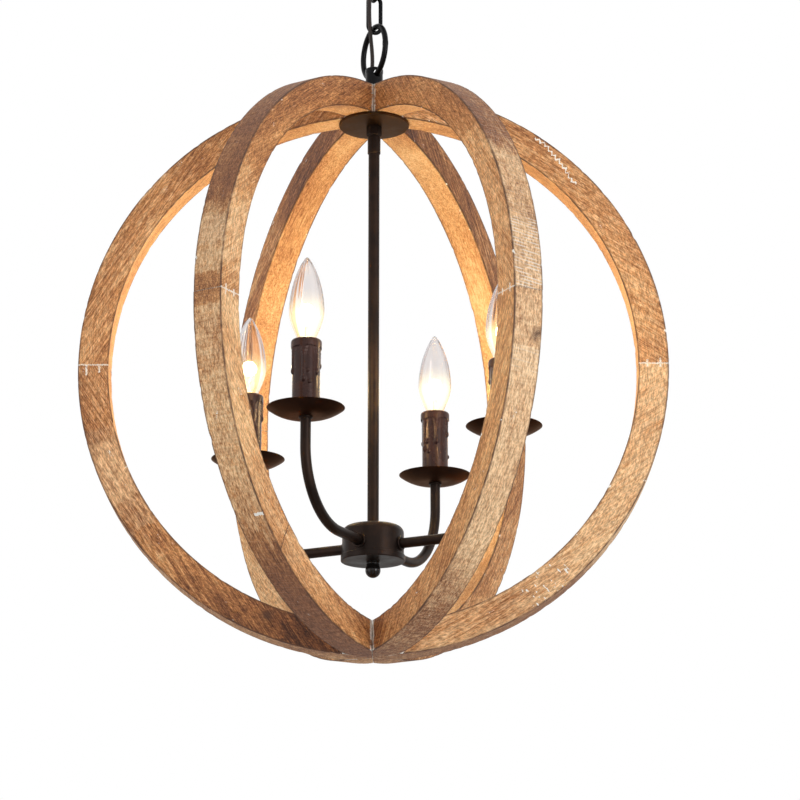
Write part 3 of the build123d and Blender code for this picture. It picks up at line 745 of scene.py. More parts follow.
def markArc(piece, level, seed, grainTurn):
    # leaves the places that the wood finish reads: board, along and edges
    mesh = piece.data
    sense = 1 if level == "upper" else -1
    lie = math.radians(90 + sense * (45 + grainTurn))
    board, along = [], []
    for vertex in mesh.vertices:
        x, y, z = vertex.co
        radius = math.hypot(x, z)
        board += [
            x * math.cos(lie) + z * math.sin(lie) + seed,
            -x * math.sin(lie) + z * math.cos(lie),
            y + seed * 0.37,
        ]
        along += [math.atan2(z, x) * middleRadius, y, radius - middleRadius]
    for name, values in [("board", board), ("along", along)]:
        mesh.attributes.new(name, "FLOAT_VECTOR", "POINT").data.foreach_set("vector", values)
    edges = []
    for face in mesh.polygons:
        x, y, z = face.center
        outward = Vector((x, 0, z)).normalized()
        facing = face.normal.dot(outward)
        kind = 1.0 if facing > 0.6 else -1.0 if facing < -0.6 else 0.0
        for index in face.vertices:
            px, py, pz = mesh.vertices[index].co
            offRadius = hoopDepth / 2 - abs(math.hypot(px, pz) - middleRadius)
            offSide = hoopWidth / 2 - abs(py)
            # on a face, the distance to its own long edges
            rim = offSide if kind else offRadius
            mitre = px * math.sin(mitreHalf) - abs(py) * math.cos(mitreHalf)
            edges += [max(0.0, rim), mitre, kind]
    mesh.attributes.new("edges", "FLOAT_VECTOR", "CORNER").data.foreach_set("vector", edges)


for level in ("upper", "lower"):
    master = sawArc(f"{level}_master", level)
    for number in range(1, 7):
        seed = number * 1.7 + (0 if level == "upper" else 11.3)
        grainTurn = hoop["grainTurns"][number - 1 + (0 if level == "upper" else 6)]
        arc = copyPiece(master, f"sawn_arc_{level}_{number}")
        wearArc(arc, seed)
        markArc(arc, level, seed, grainTurn)
        movePiece(arc, orbCentre, math.radians(60 * (number - 1)))
        basics, extras = arcFinish[level][number - 1]
        look = dict(zip(arcBasics, basics)) | extras
        finish = makeMaterial(f"sawnWood_{level}_{number}", sawnWood, look, (0.35, 0.0006))
        finishPiece(arc, "fixture", finish, [f"arc_{level}_{number}"], smooth=40)
    bpy.data.objects.remove(master)
print("orb sawn")


# metalwork on the stem: plate, nut, coupling, tube, hub and finial

stem = {
    "radius": 0.00525,
    "thread": 0.0048,
    "threadLength": 0.008,
    "footLength": 0.004,
    "bore": 0.0034,
    "hole": 0.0049,          # in plate, hub, finial and pans
    "plateEase": 0.0009,
    "couplingEase": 0.0007,
    "couplingLip": 0.0003,
}
hub = {
    "shoulder": 0.0065,
    "wall": 0.0012,
    "flatEnds": [0.0045, 0.0035],
    "rimRound": 0.0008,
    "rimEase": 0.0004,
    "slack": 0.0001,
}
finial = {
    "neckOut": 0.0073,
    "neckUp": 0.0058,
    "neckRound": 0.0014,
    "neckRadius": 0.0059,
    "neckHeight": 0.0012,
}


def shape(node):
    # radius, bottom and top of a round node that stands on the stem's axis
    low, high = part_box(node)
    return high.x, low.z, high.z


def turnFixed(name, node, outline, steps=72, finish=bronze):
    # a turned piece of the fixture, in the place of a node
    piece = turnPiece(name, outline, steps)
    finishPiece(piece, "fixture", finish, [node])


hole = stem["hole"]
plateRadius, plateLow, plateHigh = shape("top_plate")
ease = stem["plateEase"]
turnFixed(
    "ceiling_plate", "top_plate",
    [(hole, plateLow), (plateRadius - ease, plateLow)]
    + arcPoints((plateRadius - ease, plateLow + ease), ease, -90, 0, 4)[1:]
    + [(plateRadius, plateHigh), (hole, plateHigh), (hole, plateLow)],
    steps=128, finish=plateBronzePaintedLight,
)

couplingRadius, couplingLow, couplingHigh = shape("coupling")
ease = stem["couplingEase"]
turnFixed(
    "stem_coupling", "coupling",
    [
        (stem["radius"], couplingLow), (couplingRadius - ease, couplingLow),
        (couplingRadius, couplingLow + ease), (couplingRadius, couplingHigh - ease),
        (couplingRadius - ease, couplingHigh),
        (stem["radius"] - stem["couplingLip"], couplingHigh),
    ],
)

hubRadius, hubLow, hubHigh = shape("hub_body")
pipeLow = hubLow - stem["footLength"]
pipeHigh = couplingLow + stem["threadLength"]
turnFixed(
    "stem_pipe", "stem_tube",
    [
        (stem["bore"], pipeLow), (stem["thread"], pipeLow), (stem["thread"], hubHigh),
        (stem["radius"], hubHigh), (stem["radius"], couplingLow), (stem["thread"], couplingLow),
        (stem["thread"], pipeHigh), (stem["bore"], pipeHigh), (stem["bore"], pipeLow),
    ],
    steps=48,
)

shoulder, wall = hub["shoulder"], hub["wall"]
turnFixed(
    "hub_cup", "hub_body",
    [(hole, hubHigh)]
    + arcPoints((hubRadius - shoulder, hubHigh - shoulder), shoulder, 90, 0, 10)
    + [(hubRadius, hubLow), (hubRadius - wall, hubLow)]
    + arcPoints((hubRadius - shoulder, hubHigh - shoulder), shoulder - wall, 0, 90, 8)
    + [(hole, hubHigh - wall), (hole, hubHigh)],
    steps=128,
)

rimRadius, rimLow, rimHigh = shape("hub_plate")
bend, ease = hub["rimRound"], hub["rimEase"]
inside = hubRadius + hub["slack"]
turnFixed(
    "hub_base", "hub_plate",
    [(hole, rimLow)]
    + [(rimRadius - end, rimLow) for end in hub["flatEnds"]]
    + arcPoints((rimRadius - bend, rimLow + bend), bend, -90, 0, 4)
    + [(rimRadius, rimHigh - ease), (rimRadius - ease, rimHigh), (inside, rimHigh)]
    + [(inside, rimLow + wall), (hole, rimLow + wall), (hole, rimLow)],
    steps=128,
)

finialRadius, finialLow, finialHigh = shape("finial")
ballZ = finialLow + finialRadius
neck = finial["neckRadius"]
throat = (finial["neckOut"], ballZ + finial["neckUp"])
turnFixed(
    "ball_finial", "finial",
    arcPoints((0, ballZ), finialRadius, -90, 32, 22)
    + arcPoints(throat, finial["neckRound"], -150, -215, 4)[1:]
    + [(neck, finialHigh - finial["neckHeight"]), (neck, finialHigh), (hole, finialHigh)],
    steps=64, finish=blackGloss,
)
print("stem turned")


# arms, pans, candle sleeves and bulbs

arm = {
    "tubeRadius": 0.0047,
    "wall": 0.0013,
    "bend": 0.064,
    "innerEnd": 0.019,
    "steps": 26,
    "flangeRadius": 0.0062,
    "flangeHeight": 0.0016,
    "flangeEase": 0.0005,
}
pan = {
    "flat": 0.014,
    "thick": 0.0012,
    "lipRise": 0.0005,
    "bowl": 1.9,             # how late the bowl climbs
    "steps": [0, 0.15, 0.3, 0.45, 0.6, 0.72, 0.84, 0.93, 1],
    "lip": [(0.0, 0.0004), (0.0003, 0.00005), (0.0008, 0.0)],
    "lipInside": (0.0012, 0.0003),
}
armLow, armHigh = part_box("arm_1")
armZ = armLow.z + arm["tubeRadius"]
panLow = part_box("drip_pan_1")[0].z
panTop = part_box("drip_pan_1")[1].z
panRadius = (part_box("drip_pan_1")[1].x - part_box("drip_pan_1")[0].x) / 2


def bendArm(name):
    # a ring extruded down from the pan, spun through the bend and run into the hub
    piece = startTube(name, 36, arm["tubeRadius"], armReach, armHigh.z)
    extrude(0, armZ + arm["bend"] - armHigh.z)
    spinOver(arm["steps"], -math.pi / 2, armReach - arm["bend"], armZ + arm["bend"])
    extrude(arm["innerEnd"] - (armReach - arm["bend"]), 0)
    closePiece()
    tubeWall = piece.modifiers.new("tubeWall", "SOLIDIFY")
    tubeWall.thickness = arm["wall"]
    tubeWall.offset = -1
    return piece


def turnFlange(name):
    radius, ease = arm["flangeRadius"], arm["flangeEase"]
    low = panLow - arm["flangeHeight"]
    outline = [(arm["tubeRadius"], low), (radius - ease, low), (radius, low + ease)]
    outline += [(radius, panLow), (arm["tubeRadius"], panLow)]
    return turnPiece(name, outline, steps=40)


def turnPan(name):
    # a shallow dish with a flat middle and a thin eased lip
    depth = panTop - pan["lipRise"] - panLow
    span = panRadius - pan["flat"]
    under = [(pan["flat"] + span * t, panLow + depth * t ** pan["bowl"]) for t in pan["steps"]]
    over = []
    for radius, z in reversed(under):
        inset = pan["thick"] * 0.5 * (radius - pan["flat"]) / span
        over.append((radius - inset, z + pan["thick"]))
    lip = [(panRadius - inwards, panTop - drop) for inwards, drop in pan["lip"]]
    over[0] = (panRadius - pan["lipInside"][0], panTop - pan["lipInside"][1])
    middle = [(hole, panLow + pan["thick"]), (hole, panLow)]
    return turnPiece(name, [(hole, panLow)] + under + lip + over + middle, steps=96)


for number, (x, y) in enumerate(armTips, 1):
    tube = bendArm("tube")
    movePiece(tube, (0, 0, 0), math.atan2(y, x))
    applyModifiers(tube)
    flange = turnFlange("flange")
    movePiece(flange, (x, y, 0))
    piece = joinPieces(f"bent_arm_{number}", [tube, flange])
    finishPiece(piece, "fixture", bronze, [f"arm_{number}"])
    piece = turnPan(f"dished_pan_{number}")
    movePiece(piece, (x, y, 0))
    finishPiece(piece, "fixture", panBronzePaintedShade, [f"drip_pan_{number}"])
print("arms bent")

collar = {
    "sink": 0.0009,          # into the hub
    # radius and height of the corners
    "outline": [(0.0047, 0.0), (0.0066, 0.0), (0.0068, 0.0016), (0.0063, 0.0023)]
    + [(0.0052, 0.0024), (0.0047, 0.0018)],
}
rings = []
for azimuth in armAzimuths:
    # turned upright, then laid over so that it faces out of the hub
    foot = hubRadius - collar["sink"]
    ring = turnPiece("collar", lifted(collar["outline"], foot), steps=48)
    tilt = Matrix.Rotation(azimuth, 4, "Z") @ Matrix.Rotation(math.pi / 2, 4, "Y")
    ring.data.transform(Matrix.Translation((0, 0, armZ)) @ tilt)
    rings.append(ring)
piece = joinPieces("hub_collars", rings)
finishPiece(piece, "fixture", bronze, ["arm_collars"])

sleeve = {
    "radius": 0.0124,
    "bore": 0.0106,
    "neck": 0.004,           # the plain tube ends this far below the top
    "coat": 0.0138,
    "coatTop": 0.0028,
    "coatFoot": 0.0085,
    "lip": 0.0026,
    "drips": [0.038, 0.031, 0.023, 0.035, 0.020, 0.030],
    "dripTop": 0.006,
    "dripRadius": 0.0019,
    "dropRadius": 0.0026,
    "dropStretch": 1.35,
    "dripSink": 0.0006,
    # how a run widens where it leaves the collar, which leaves an arch on each side
    "roots": [(0.0048, 0.0085), (0.0036, 0.0118), (0.0028, 0.0150)],
    "rootStand": 0.0014,
    "firstDrip": 262.0,
    "dripStep": 23.0,
    "beads": [(17.0, 0.031), (24.0, 0.041), (150.0, 0.044), (228.0, 0.036)],
    "beadRadius": 0.0017,
    "beadStretch": 1.3,
    "beadSink": 0.0003,
    "voxel": 0.00042,
}
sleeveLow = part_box("candle_sleeve_1")[0].z
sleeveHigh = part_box("candle_sleeve_1")[1].z


def addBlob(radius, spot, stretch=1.0):
    bpy.ops.mesh.primitive_uv_sphere_add(
        segments=16, ring_count=10, radius=radius, location=spot
    )
    blob = bpy.context.object
    blob.scale = (1, 1, stretch)
    return blob


def onSleeve(degrees, radius, drop):
    # a place beside the sleeve, some way below its top
    turn = math.radians(sleeve["firstDrip"] + degrees)
    outward = Vector((math.cos(turn), math.sin(turn), 0))
    return outward * radius + Vector((0, 0, sleeveHigh - drop))


def dripSleeve():
    # a tube, a thick collar and long drops, melted into one skin by a remesh
    wax, lip = sleeve["coat"], sleeve["lip"]
    outline = [(sleeve["bore"], sleeveLow), (sleeve["radius"], sleeveLow)]
    outline += [(sleeve["radius"], sleeveHigh - sleeve["neck"])]
    outline += [(wax, sleeveHigh - sleeve["coatFoot"]), (wax, sleeveHigh - sleeve["coatTop"])]
    outline += arcPoints((wax - lip, sleeveHigh - lip), lip, 10, 90, 5)
    outline += [(sleeve["bore"], sleeveHigh), (sleeve["bore"], sleeveLow)]
    parts = [turnPiece("candle_sleeve", outline, steps=72)]
    runRadius = sleeve["radius"] - sleeve["dripSink"]
    for index, length in enumerate(sleeve["drips"]):
        degrees = 360 / len(sleeve["drips"]) * index
        clearSelection()
        bpy.ops.mesh.primitive_cylinder_add(
            vertices=16, radius=sleeve["dripRadius"], depth=length - sleeve["dripTop"],
            location=onSleeve(degrees, runRadius, (length + sleeve["dripTop"]) / 2),
        )
        parts.append(bpy.context.object)
        spot = onSleeve(degrees, runRadius, length)
        parts.append(addBlob(sleeve["dropRadius"], spot, sleeve["dropStretch"]))
        for width, drop in sleeve["roots"]:
            spot = onSleeve(degrees, sleeve["radius"] - width + sleeve["rootStand"], drop)
            parts.append(addBlob(width, spot))
    for degrees, drop in sleeve["beads"]:
        spot = onSleeve(degrees, sleeve["radius"] - sleeve["beadSink"], drop)
        parts.append(addBlob(sleeve["beadRadius"], spot, sleeve["beadStretch"]))
    piece = joinPieces("sleeve_master", parts)
    bpy.ops.object.transform_apply(location=True, rotation=True, scale=True)
    remesh = piece.modifiers.new("melt", "REMESH")
    remesh.mode = "VOXEL"
    remesh.voxel_size = sleeve["voxel"]
    relax = piece.modifiers.new("relax", "SMOOTH")
    relax.factor = 0.5
    relax.iterations = 3
    applyModifiers(piece)
    return piece


master = dripSleeve()
for number, (x, y) in enumerate(armTips, 1):
    piece = copyPiece(master, f"wax_sleeve_{number}")
    movePiece(piece, (x, y, 0), math.radians(sleeve["dripStep"] * (number - 3)))
    finishPiece(piece, "fixture", darkWax, [f"candle_sleeve_{number}"], smooth=60)
bpy.data.objects.remove(master)
print("sleeves dripped")


# bulbs

bulb = {
    "belly": 0.0345,         # height of the widest place
    "wall": 0.0009,
    "tipWall": 0.0016,
    "tipRadius": 0.004,
    "flutes": 12,
    "fluteDepth": 0.035,
    "fluteFrom": 0.15,       # share of the height
    "clearMiddle": (0.90, 0.87, 0.86, 1),
    # painted shade at the rims, painted light on the lower half and a painted glow round the
    # filament, all on the glass
    "clearPaintedShadeRim": (0.46, 0.42, 0.44, 1),
    "paintedLightMiddle": (1.0, 0.96, 0.86, 1),
    "paintedLightRim": (0.60, 0.45, 0.30, 1),
    "paintedGlowMiddle": (1.0, 0.86, 0.56, 1),
    "paintedGlowRim": (0.05, 0.03, 0.01, 1),
    "paintedGlowStrength": 0.21,
    "paintedGlowFade": (-0.004, 0.019),   # full and gone, above the belly
    "paintedGlowRise": 0.020,       # grows over this height from the foot
    "paintedGlowFoot": 0.45,
    "filamentColours": [(1.0, 0.72, 0.36, 1), (1.0, 0.90, 0.66, 1)],
    "filamentStrength": 30.0,
    "lampPower": 0.48,
    "lampRadius": 0.008,
    "lampColour": (1.0, 0.73, 0.33),
}
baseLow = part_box("bulb_base_1")[0].z
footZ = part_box("bulb_glass_1")[0].z
bellyZ = footZ + bulb["belly"]


def makeGlass():
    # clear at the tip, with painted warm light and a painted glow round the filament, and painted
    # shade where it turns away from the view
    material, tree, shader = newMaterial(
        "glassWithPaintedGlow", Transmission_Weight=1.0, IOR=1.46, Roughness=0.02,
        Emission_Strength=bulb["paintedGlowStrength"],
    )
    upright = axes(place(tree, "ShaderNodeTexCoord").outputs["Object"])[2]
    full, gone = bulb["paintedGlowFade"]
    fade = spread(upright, bellyZ + full, bellyZ + gone, 1.0, 0.0)
    rise = spread(upright, footZ, footZ + bulb["paintedGlowRise"], bulb["paintedGlowFoot"], 1.0)
    share = times(fade, rise)
    core = times(share, share)
    facing = place(tree, "ShaderNodeLayerWeight", {"Blend": 0.5}).outputs["Facing"]
    rim = spread(facing, 0.30, 0.90)
    clear = mixColour(rim, bulb["clearMiddle"], bulb["clearPaintedShadeRim"])
    paintedLit = mixColour(rim, bulb["paintedLightMiddle"], bulb["paintedLightRim"])
    tree.links.new(mixColour(share, clear, paintedLit), shader.inputs["Base Color"])
    paintedGlow = mixColour(rim, bulb["paintedGlowMiddle"], bulb["paintedGlowRim"])
    tree.links.new(mixColour(core, (0, 0, 0, 1), paintedGlow), shader.inputs["Emission Color"])
    return material


def makeHotWire():
    material, tree, shader = newMaterial(
        "hotFilament", Base_Color=(0.6, 0.5, 0.4, 1), Emission_Strength=bulb["filamentStrength"]
    )
    flicker = cloudy(place(tree, "ShaderNodeTexCoord").outputs["Object"], 400.0)
    tree.links.new(mixColour(flicker, *bulb["filamentColours"]), shader.inputs["Emission Color"])
    return material


glassWithPaintedGlow = makeGlass()
hotFilament = makeHotWire()

# radius and height above the foot, outer face
glassOutline = [
    (0.0056, 0.0), (0.0064, 0.0040), (0.0078, 0.0080), (0.0110, 0.0155), (0.0138, 0.0230),
    (0.0155, 0.0295), (0.0160, 0.0345), (0.0157, 0.0415), (0.0147, 0.0500), (0.0131, 0.0580),
    (0.0108, 0.0660), (0.0082, 0.0730), (0.0056, 0.0785), (0.0032, 0.0825), (0.0014, 0.0848),
    (0.0, 0.0855),
]


def blowBulb(name):
    # a lathe-turned envelope with soft flutes on its inner face
    outer = lifted(glassOutline, footZ)
    inner = []
    for radius, z in outer:
        nearTip = radius < bulb["tipRadius"] and z > bellyZ
        inner.append((max(0.0, radius - bulb["wall"]), z - (bulb["wall"] if nearTip else 0)))
    inner = inner[:-2] + [(0.0, outer[-1][1] - bulb["tipWall"])]
    piece = turnPiece(name, outer + list(reversed(inner)) + [outer[0]], steps=48)
    low, high = footZ, outer[-1][1]
    for vertex in piece.data.vertices:
        x, y, z = vertex.co
        radius = math.hypot(x, y)
        rise = (z - low) / (high - low)
        envelope = outerRadiusAt(z)
        if radius > 0.0005 and radius < envelope - bulb["wall"] * 0.5:
            wave = math.cos(bulb["flutes"] * math.atan2(y, x))
            climb = max(0.0, rise - bulb["fluteFrom"])
            scale = 1 - bulb["fluteDepth"] * max(0.0, wave) * climb
            vertex.co.x = x * scale
            vertex.co.y = y * scale
    addSubdivision(piece, 1)
    return piece


def outerRadiusAt(z):
    # the envelope's outer radius at a height, between the outline's points
    height = z - footZ
    for (lowRadius, lowZ), (highRadius, highZ) in zip(glassOutline, glassOutline[1:]):
        if lowZ <= height <= highZ:
            share = (height - lowZ) / (highZ - lowZ)
            return lowRadius + (highRadius - lowRadius) * share
    return glassOutline[0][0]


# outlines in radius and height: the contact and the shell from their own feet, one turn of the
# thread in pitches, and the shell's top from the glass's foot
screw = {
    "height": 0.017,
    "pitch": 0.0022,
    "turns": 6,
    "threadFrom": 0.0010,    # above the shell's foot
    "threadTo": 0.0025,      # below the glass's foot
    "core": 0.005,           # radius inside the thread
    "contact": [(0.0, 0.0), (0.0020, 0.0), (0.0024, 0.0005), (0.0024, 0.0012)],
    "shell": [(0.0046, -0.0002), (0.0050, 0.0006)],
    "turn": [(0.0052, 0.0), (0.0057, 0.3), (0.0057, 0.55), (0.0052, 0.85)],
    "top": [(0.0055, -0.0022), (0.0056, 0.0), (0.0, 0.0)],
}


def threadBase(name):
    # brass shell with a rolled thread, an insulator and the bottom contact
    shellLow = footZ - screw["height"]
    threadLow = shellLow + screw["threadFrom"]
    pitch = screw["pitch"]
    outline = lifted(screw["contact"], baseLow) + lifted(screw["shell"], shellLow)
    for index in range(screw["turns"]):
        low = threadLow + pitch * index
        outline += [(radius, low + pitch * share) for radius, share in screw["turn"]]
    outline += lifted(screw["top"], footZ)
    piece = turnPiece(name, outline, steps=40)
    # the thread climbs as it goes round
    for vertex in piece.data.vertices:
        x, y, z = vertex.co
        onThread = threadLow - 0.0001 < z < footZ - screw["threadTo"]
        if onThread and math.hypot(x, y) > screw["core"]:
            vertex.co.z = z + pitch * 0.5 * math.atan2(y, x) / math.tau
    return piece


filament = {
    # glass stem in the middle, in radius and height above the foot
    "mount": [
        (0.0, 0.001), (0.0040, 0.001), (0.0030, 0.006), (0.0018, 0.012),
        (0.0021, 0.018), (0.0014, 0.0215), (0.0, 0.0222),
    ],
    "support": [(0.0008, 0.016), (0.0012, 0.0235), (0.0040, 0.026), (0.0052, 0.0305)],
    "supportWire": 0.00022,
    "wire": 0.00028,
    "turns": 9,
    "coilRadius": 0.0008,
    "archWidth": 0.0052,
    "archFoot": 0.030,
    "archRise": 0.0065,
}


def makeMount(name):
    # the glass stem that carries the filament's supports
    piece = turnPiece(name, lifted(filament["mount"], footZ), steps=24)
    addSubdivision(piece, 1)
    return piece


def bendWire(name, points, radius, resolution=6):
    # a wire along a smooth curve, as a mesh
    curve = bpy.data.curves.new(name, "CURVE")
    curve.dimensions = "3D"
    curve.bevel_depth = radius
    curve.bevel_resolution = 3
    curve.resolution_u = resolution
    curve.use_fill_caps = True
    spline = curve.splines.new("NURBS")
    spline.points.add(len(points) - 1)
    for point, spot in zip(spline.points, points):
        point.co = (*spot, 1)
    spline.order_u = 3
    spline.use_endpoint_u = True
    piece = addObject(name, curve)
    pickPiece(piece)
    bpy.ops.object.convert(target="MESH")
    return bpy.context.object


def coilPoints():
    # the filament: an arch of fine turns between the two supports
    points = []
    steps = filament["turns"] * 8
    radius = filament["coilRadius"]
    for step in range(steps + 1):
        share = step / steps
        arch = math.pi * share
        outward = Vector((math.cos(math.pi - arch), 0, math.sin(arch)))
        height = footZ + filament["archFoot"] + filament["archRise"] * math.sin(arch)
        centre = Vector((filament["archWidth"] * math.cos(math.pi - arch), 0, height))
        swing = math.tau * filament["turns"] * share
        point = centre + outward * radius * math.cos(swing)
        points.append(point + Vector((0, radius * math.sin(swing), 0)))
    return points


for number, (x, y) in enumerate(armTips, 1):
    body = f"bulb_{number}"
    glass = blowBulb(f"blown_glass_{number}")
    movePiece(glass, (x, y, 0))
    finishPiece(glass, body, glassWithPaintedGlow, [f"bulb_glass_{number}"], smooth=180)
    glass.visible_shadow = False
    base = threadBase(f"screw_base_{number}")
    movePiece(base, (x, y, 0))
    finishPiece(base, body, brassShell, [f"bulb_base_{number}"])
    mount = makeMount("mount")
    applyModifiers(mount)
    wires = []
    for side in (-1, 1):
        points = [(side * out, 0, footZ + up) for out, up in filament["support"]]
        wires.append(bendWire("wire", points, filament["supportWire"]))
    support = joinPieces(f"filament_mount_{number}", [mount] + wires)
    movePiece(support, (x, y, 0), 0.6 * number)
    finishPiece(support, body, zincSteel)
    coil = bendWire(f"filament_{number}", coilPoints(), filament["wire"], resolution=2)
    movePiece(coil, (x, y, 0), 0.6 * number)
    finishPiece(coil, body, hotFilament, smooth=60)
    lamp = bpy.data.lights.new(f"lamp_{number}", "POINT")
    lamp.energy = bulb["lampPower"]
    lamp.color = bulb["lampColour"]
    lamp.shadow_soft_size = bulb["lampRadius"]
    glowLamp = addObject(f"lamp_{number}", lamp)
    glowLamp.location = (x, y, bellyZ)
    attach(glowLamp, body)
print("bulbs blown")


# chain, ring, canopy and cord

chain = {
    "linkWire": 0.002,
    "linkWidth": 0.017,
    "linkSteps": 24,
    "linkWeld": 0.0016,      # half the weld's length
    "linkBead": 1.08,
    "ringWire": 0.0027,
    "ringTurn": -64.0,
    "ringWeld": 0.0018,
    "ringBead": (1.06, 0.05),
}


def bendLink(name, node, turn):
    # a round section spun over the top, run down, spun under and run up again
    low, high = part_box(node)
    halfWidth = chain["linkWidth"] / 2 - chain["linkWire"]
    straight = (high.z - low.z) / 2 - chain["linkWire"] - halfWidth
    middle = (high.z + low.z) / 2
    piece = startTube(name, 20, chain["linkWire"], halfWidth, straight)
    for up in (straight, -straight):
        spinOver(chain["linkSteps"], math.pi, z=up)
        extrude(0, -2 * up)
    closePiece()
    # a slight bead where the wire's ends were welded
    for vertex in piece.data.vertices:
        if vertex.co.x > 0 and abs(vertex.co.z) < chain["linkWeld"]:
            vertex.co.x = halfWidth + (vertex.co.x - halfWidth) * chain["linkBead"]
            vertex.co.y *= chain["linkBead"]
    movePiece(piece, (0, 0, middle), math.radians(turn))
    return piece


for level, turn in [("upper", chain["ringTurn"]), ("lower", chain["ringTurn"] + 90)]:
    node = f"chain_link_{level}"
    piece = bendLink(f"oval_link_{level}", node, turn)
    finishPiece(piece, f"link_{level}", blackIron, [node], smooth=60)

ringLow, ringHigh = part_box("hanging_ring")
ringRadius = (ringHigh.z - ringLow.z) / 2 - chain["ringWire"]
clearSelection()
bpy.ops.mesh.primitive_torus_add(
    major_radius=ringRadius, minor_radius=chain["ringWire"],
    major_segments=120, minor_segments=24, rotation=(math.pi / 2, 0, 0),
)
piece = bpy.context.object
piece.name = "round_ring"
bpy.ops.object.transform_apply(rotation=True)
for vertex in piece.data.vertices:
    # the weld, a quarter of the way round
    if abs(vertex.co.z) < chain["ringWeld"] and vertex.co.x > 0:
        radius = math.hypot(vertex.co.x, vertex.co.z)
        vertex.co.y *= chain["ringBead"][0]
        vertex.co.x *= 1 + chain["ringBead"][1] * (radius - ringRadius) / ringRadius
movePiece(piece, (0, 0, (ringHigh.z + ringLow.z) / 2), math.radians(chain["ringTurn"]))
finishPiece(piece, "ring", blackIron, ["hanging_ring"], smooth=60)

canopy = {
    "wall": 0.001,
    "crown": 0.026,          # radius of the flat middle
    "hole": 0.0093,
    "bulge": 0.9,
}
canopyRadius, canopyLow, canopyHigh = shape("canopy")
outerCurve = []
for degrees in range(0, 91, 9):
    angle = math.radians(degrees)
    share = math.sin(angle) ** canopy["bulge"]
    radius = canopy["crown"] + (canopyRadius - canopy["crown"]) * share
    outerCurve.append((radius, canopyLow + (canopyHigh - canopyLow) * (1 - math.cos(angle))))
innerCurve = [
    (max(canopy["hole"], radius - canopy["wall"] * 0.9), min(0.0, z + canopy["wall"] * 0.8))
    for radius, z in reversed(outerCurve)
]
rim = [(canopy["hole"], canopyLow + canopy["wall"]), (canopy["hole"], canopyLow)]
outline = [(canopy["hole"], canopyLow)] + outerCurve + innerCurve + rim
piece = turnPiece("spun_canopy", outline, steps=128)
finishPiece(piece, "ceiling_mount", bronze, ["canopy"])
print("chain and canopy made")

# the lamp cord: one route, in a piece for each joint that it passes
cord = {
    "radius": 0.0019,
    "route": [
        (0.0, 0.0, -0.001), (0.0, 0.0, -0.042), (-0.0026, -0.0082, -0.057),
        (-0.0046, -0.0088, -0.092), (-0.0048, -0.008, -0.122), (-0.0006, -0.0016, -0.165),
        (-0.0057, -0.00278, -0.1769), (0.0, 0.0, -0.1905), (0.0, 0.0, -0.205),
    ],
    # node, first and last corner of the route, bodies above and below, bend's start and end
    "leads": [
        ("lead_top", 0, 2, "ceiling_mount", "link_upper", -0.045, -0.074),
        ("lead_upper", 3, 3, "link_upper", "link_lower", -0.080, -0.1065),
        ("lead_lower", 4, 4, "link_lower", "ring", -0.112, -0.143),
        ("lead_ring", 5, 8, "ring", "fixture", -0.150, -0.188),
    ],
}
route = [Vector(point) for point in cord["route"]]
for name, first, last, above, below, bendTop, bendLow in cord["leads"]:
    points = route[first : last + 1]
    if first > 0:
        points = [(route[first - 1] + route[first]) / 2] + points
    if last < len(route) - 1:
        points = points + [(route[last] + route[last + 1]) / 2]
    piece = bendWire(f"cord_{name}", points, cord["radius"], resolution=14)
    pickPiece(piece)
    bpy.ops.object.shade_smooth_by_angle(angle=math.radians(60))
    piece.data.materials.append(brownCord)
    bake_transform(piece)
    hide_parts(name)
print("cord laid")

# finishes on the nodes that stay as they are

kept = [
    (zincSteel, ["mounting_bar", "ceiling_nipple", "top_nipple", "arm_nuts"]),
    (greenScrew, ["ground_screw"]),
    (bronze, ["screw_collar", "canopy_loop", "plate_nut"]),
    (blackIron, ["barrel_loop"]),
    (brownCord, ["stem_leads"]),
    (phenolic, ["socket_bodies"]),
    (brassShell, ["socket_shells"]),
    (dowelWood, ["joint_dowels"]),
]
for material, names in kept:
    for name in names:
        for slot in nodes[name].material_slots:
            slot.material = material
print("nodes finished")


# floor, light and camera

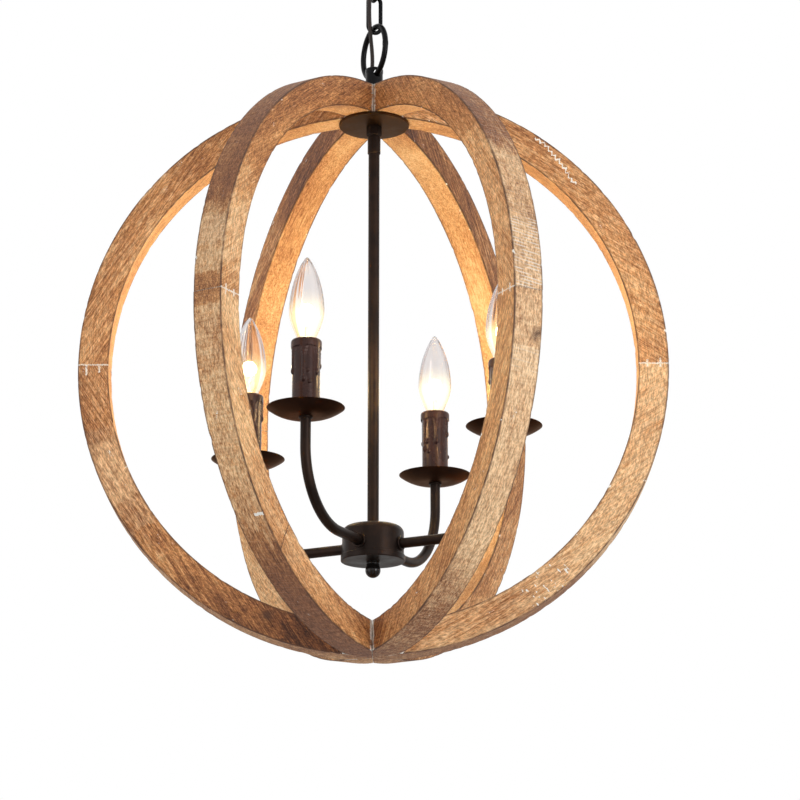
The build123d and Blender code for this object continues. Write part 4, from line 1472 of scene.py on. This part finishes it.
studio = {
    "floorZ": orbZ - 2.4,
    "floorSize": 80.0,
    "floorColour": (0.90, 0.90, 0.89, 1),
    "skyLow": (0.80, 0.80, 0.80, 1),
    "skyHigh": (0.50, 0.50, 0.50, 1),
    # each lamp's place from the orb's centre, power and size
    "lamps": {"key": ((1.9, -2.1, -0.1), 30.0, 1.3), "fill": ((-2.3, -1.5, -0.3), 9.0, 1.8)},
}
clearSelection()
bpy.ops.mesh.primitive_plane_add(size=studio["floorSize"], location=(0, 0, studio["floorZ"]))
floor = bpy.context.object
floor.name = "studio_floor"
paint = newMaterial("floorPaint", Base_Color=studio["floorColour"], Roughness=0.9)[0]
floor.data.materials.append(paint)

world = bpy.data.worlds.new("studioWorld")
bpy.context.scene.world = world
world.use_nodes = True
tree = world.node_tree
tree.nodes.clear()
ray = place(tree, "ShaderNodeLightPath").outputs
seen = most(ray["Is Camera Ray"], ray["Is Glossy Ray"], ray["Is Transmission Ray"])
height = axes(place(tree, "ShaderNodeTexCoord").outputs["Generated"])[2]
sky = mixColour(spread(height, 0.0, 0.8), studio["skyLow"], studio["skyHigh"])
soft = place(tree, "ShaderNodeBackground", {"Color": sky}).outputs[0]
white = place(tree, "ShaderNodeBackground", {"Color": (1, 1, 1, 1)}).outputs[0]
both = place(tree, "ShaderNodeMixShader", {0: seen, 1: soft, 2: white}).outputs[0]
place(tree, "ShaderNodeOutputWorld", {0: both})

for label, (spot, power, width) in studio["lamps"].items():
    light = bpy.data.lights.new(label, "AREA")
    light.energy = power
    light.size = width
    stand = addObject(label, light)
    stand.location = orbCentre + Vector(spot)
    stand.rotation_mode = "QUATERNION"
    stand.rotation_quaternion = (orbCentre - stand.location).to_track_quat("-Z", "Y")

view = {
    "distance": 2.518,      # level distance from the orb's centre
    "azimuth": 271.2,
    "drop": 0.755,          # the camera stands below the orb's centre
    "pitch": 16.05,
    "turn": 0.56,           # to the right of the stem
    "focalPixels": 2833.0,
    "framePixels": 800.0,
    "sensor": 36.0,
}
camera = bpy.data.cameras.new("camera")
camera.sensor_width = view["sensor"]
camera.lens = view["sensor"] * view["focalPixels"] / view["framePixels"]
eye = addObject("camera", camera)
bearing = math.radians(view["azimuth"])
eye.location = orbCentre + Vector(
    (view["distance"] * math.cos(bearing), view["distance"] * math.sin(bearing), -view["drop"])
)
heading = view["azimuth"] - 180 - view["turn"]
eye.rotation_euler = (math.radians(90 + view["pitch"]), 0, math.radians(heading - 90))
bpy.context.scene.camera = eye
bpy.context.scene.view_settings.view_transform = "Standard"
print("studio set")
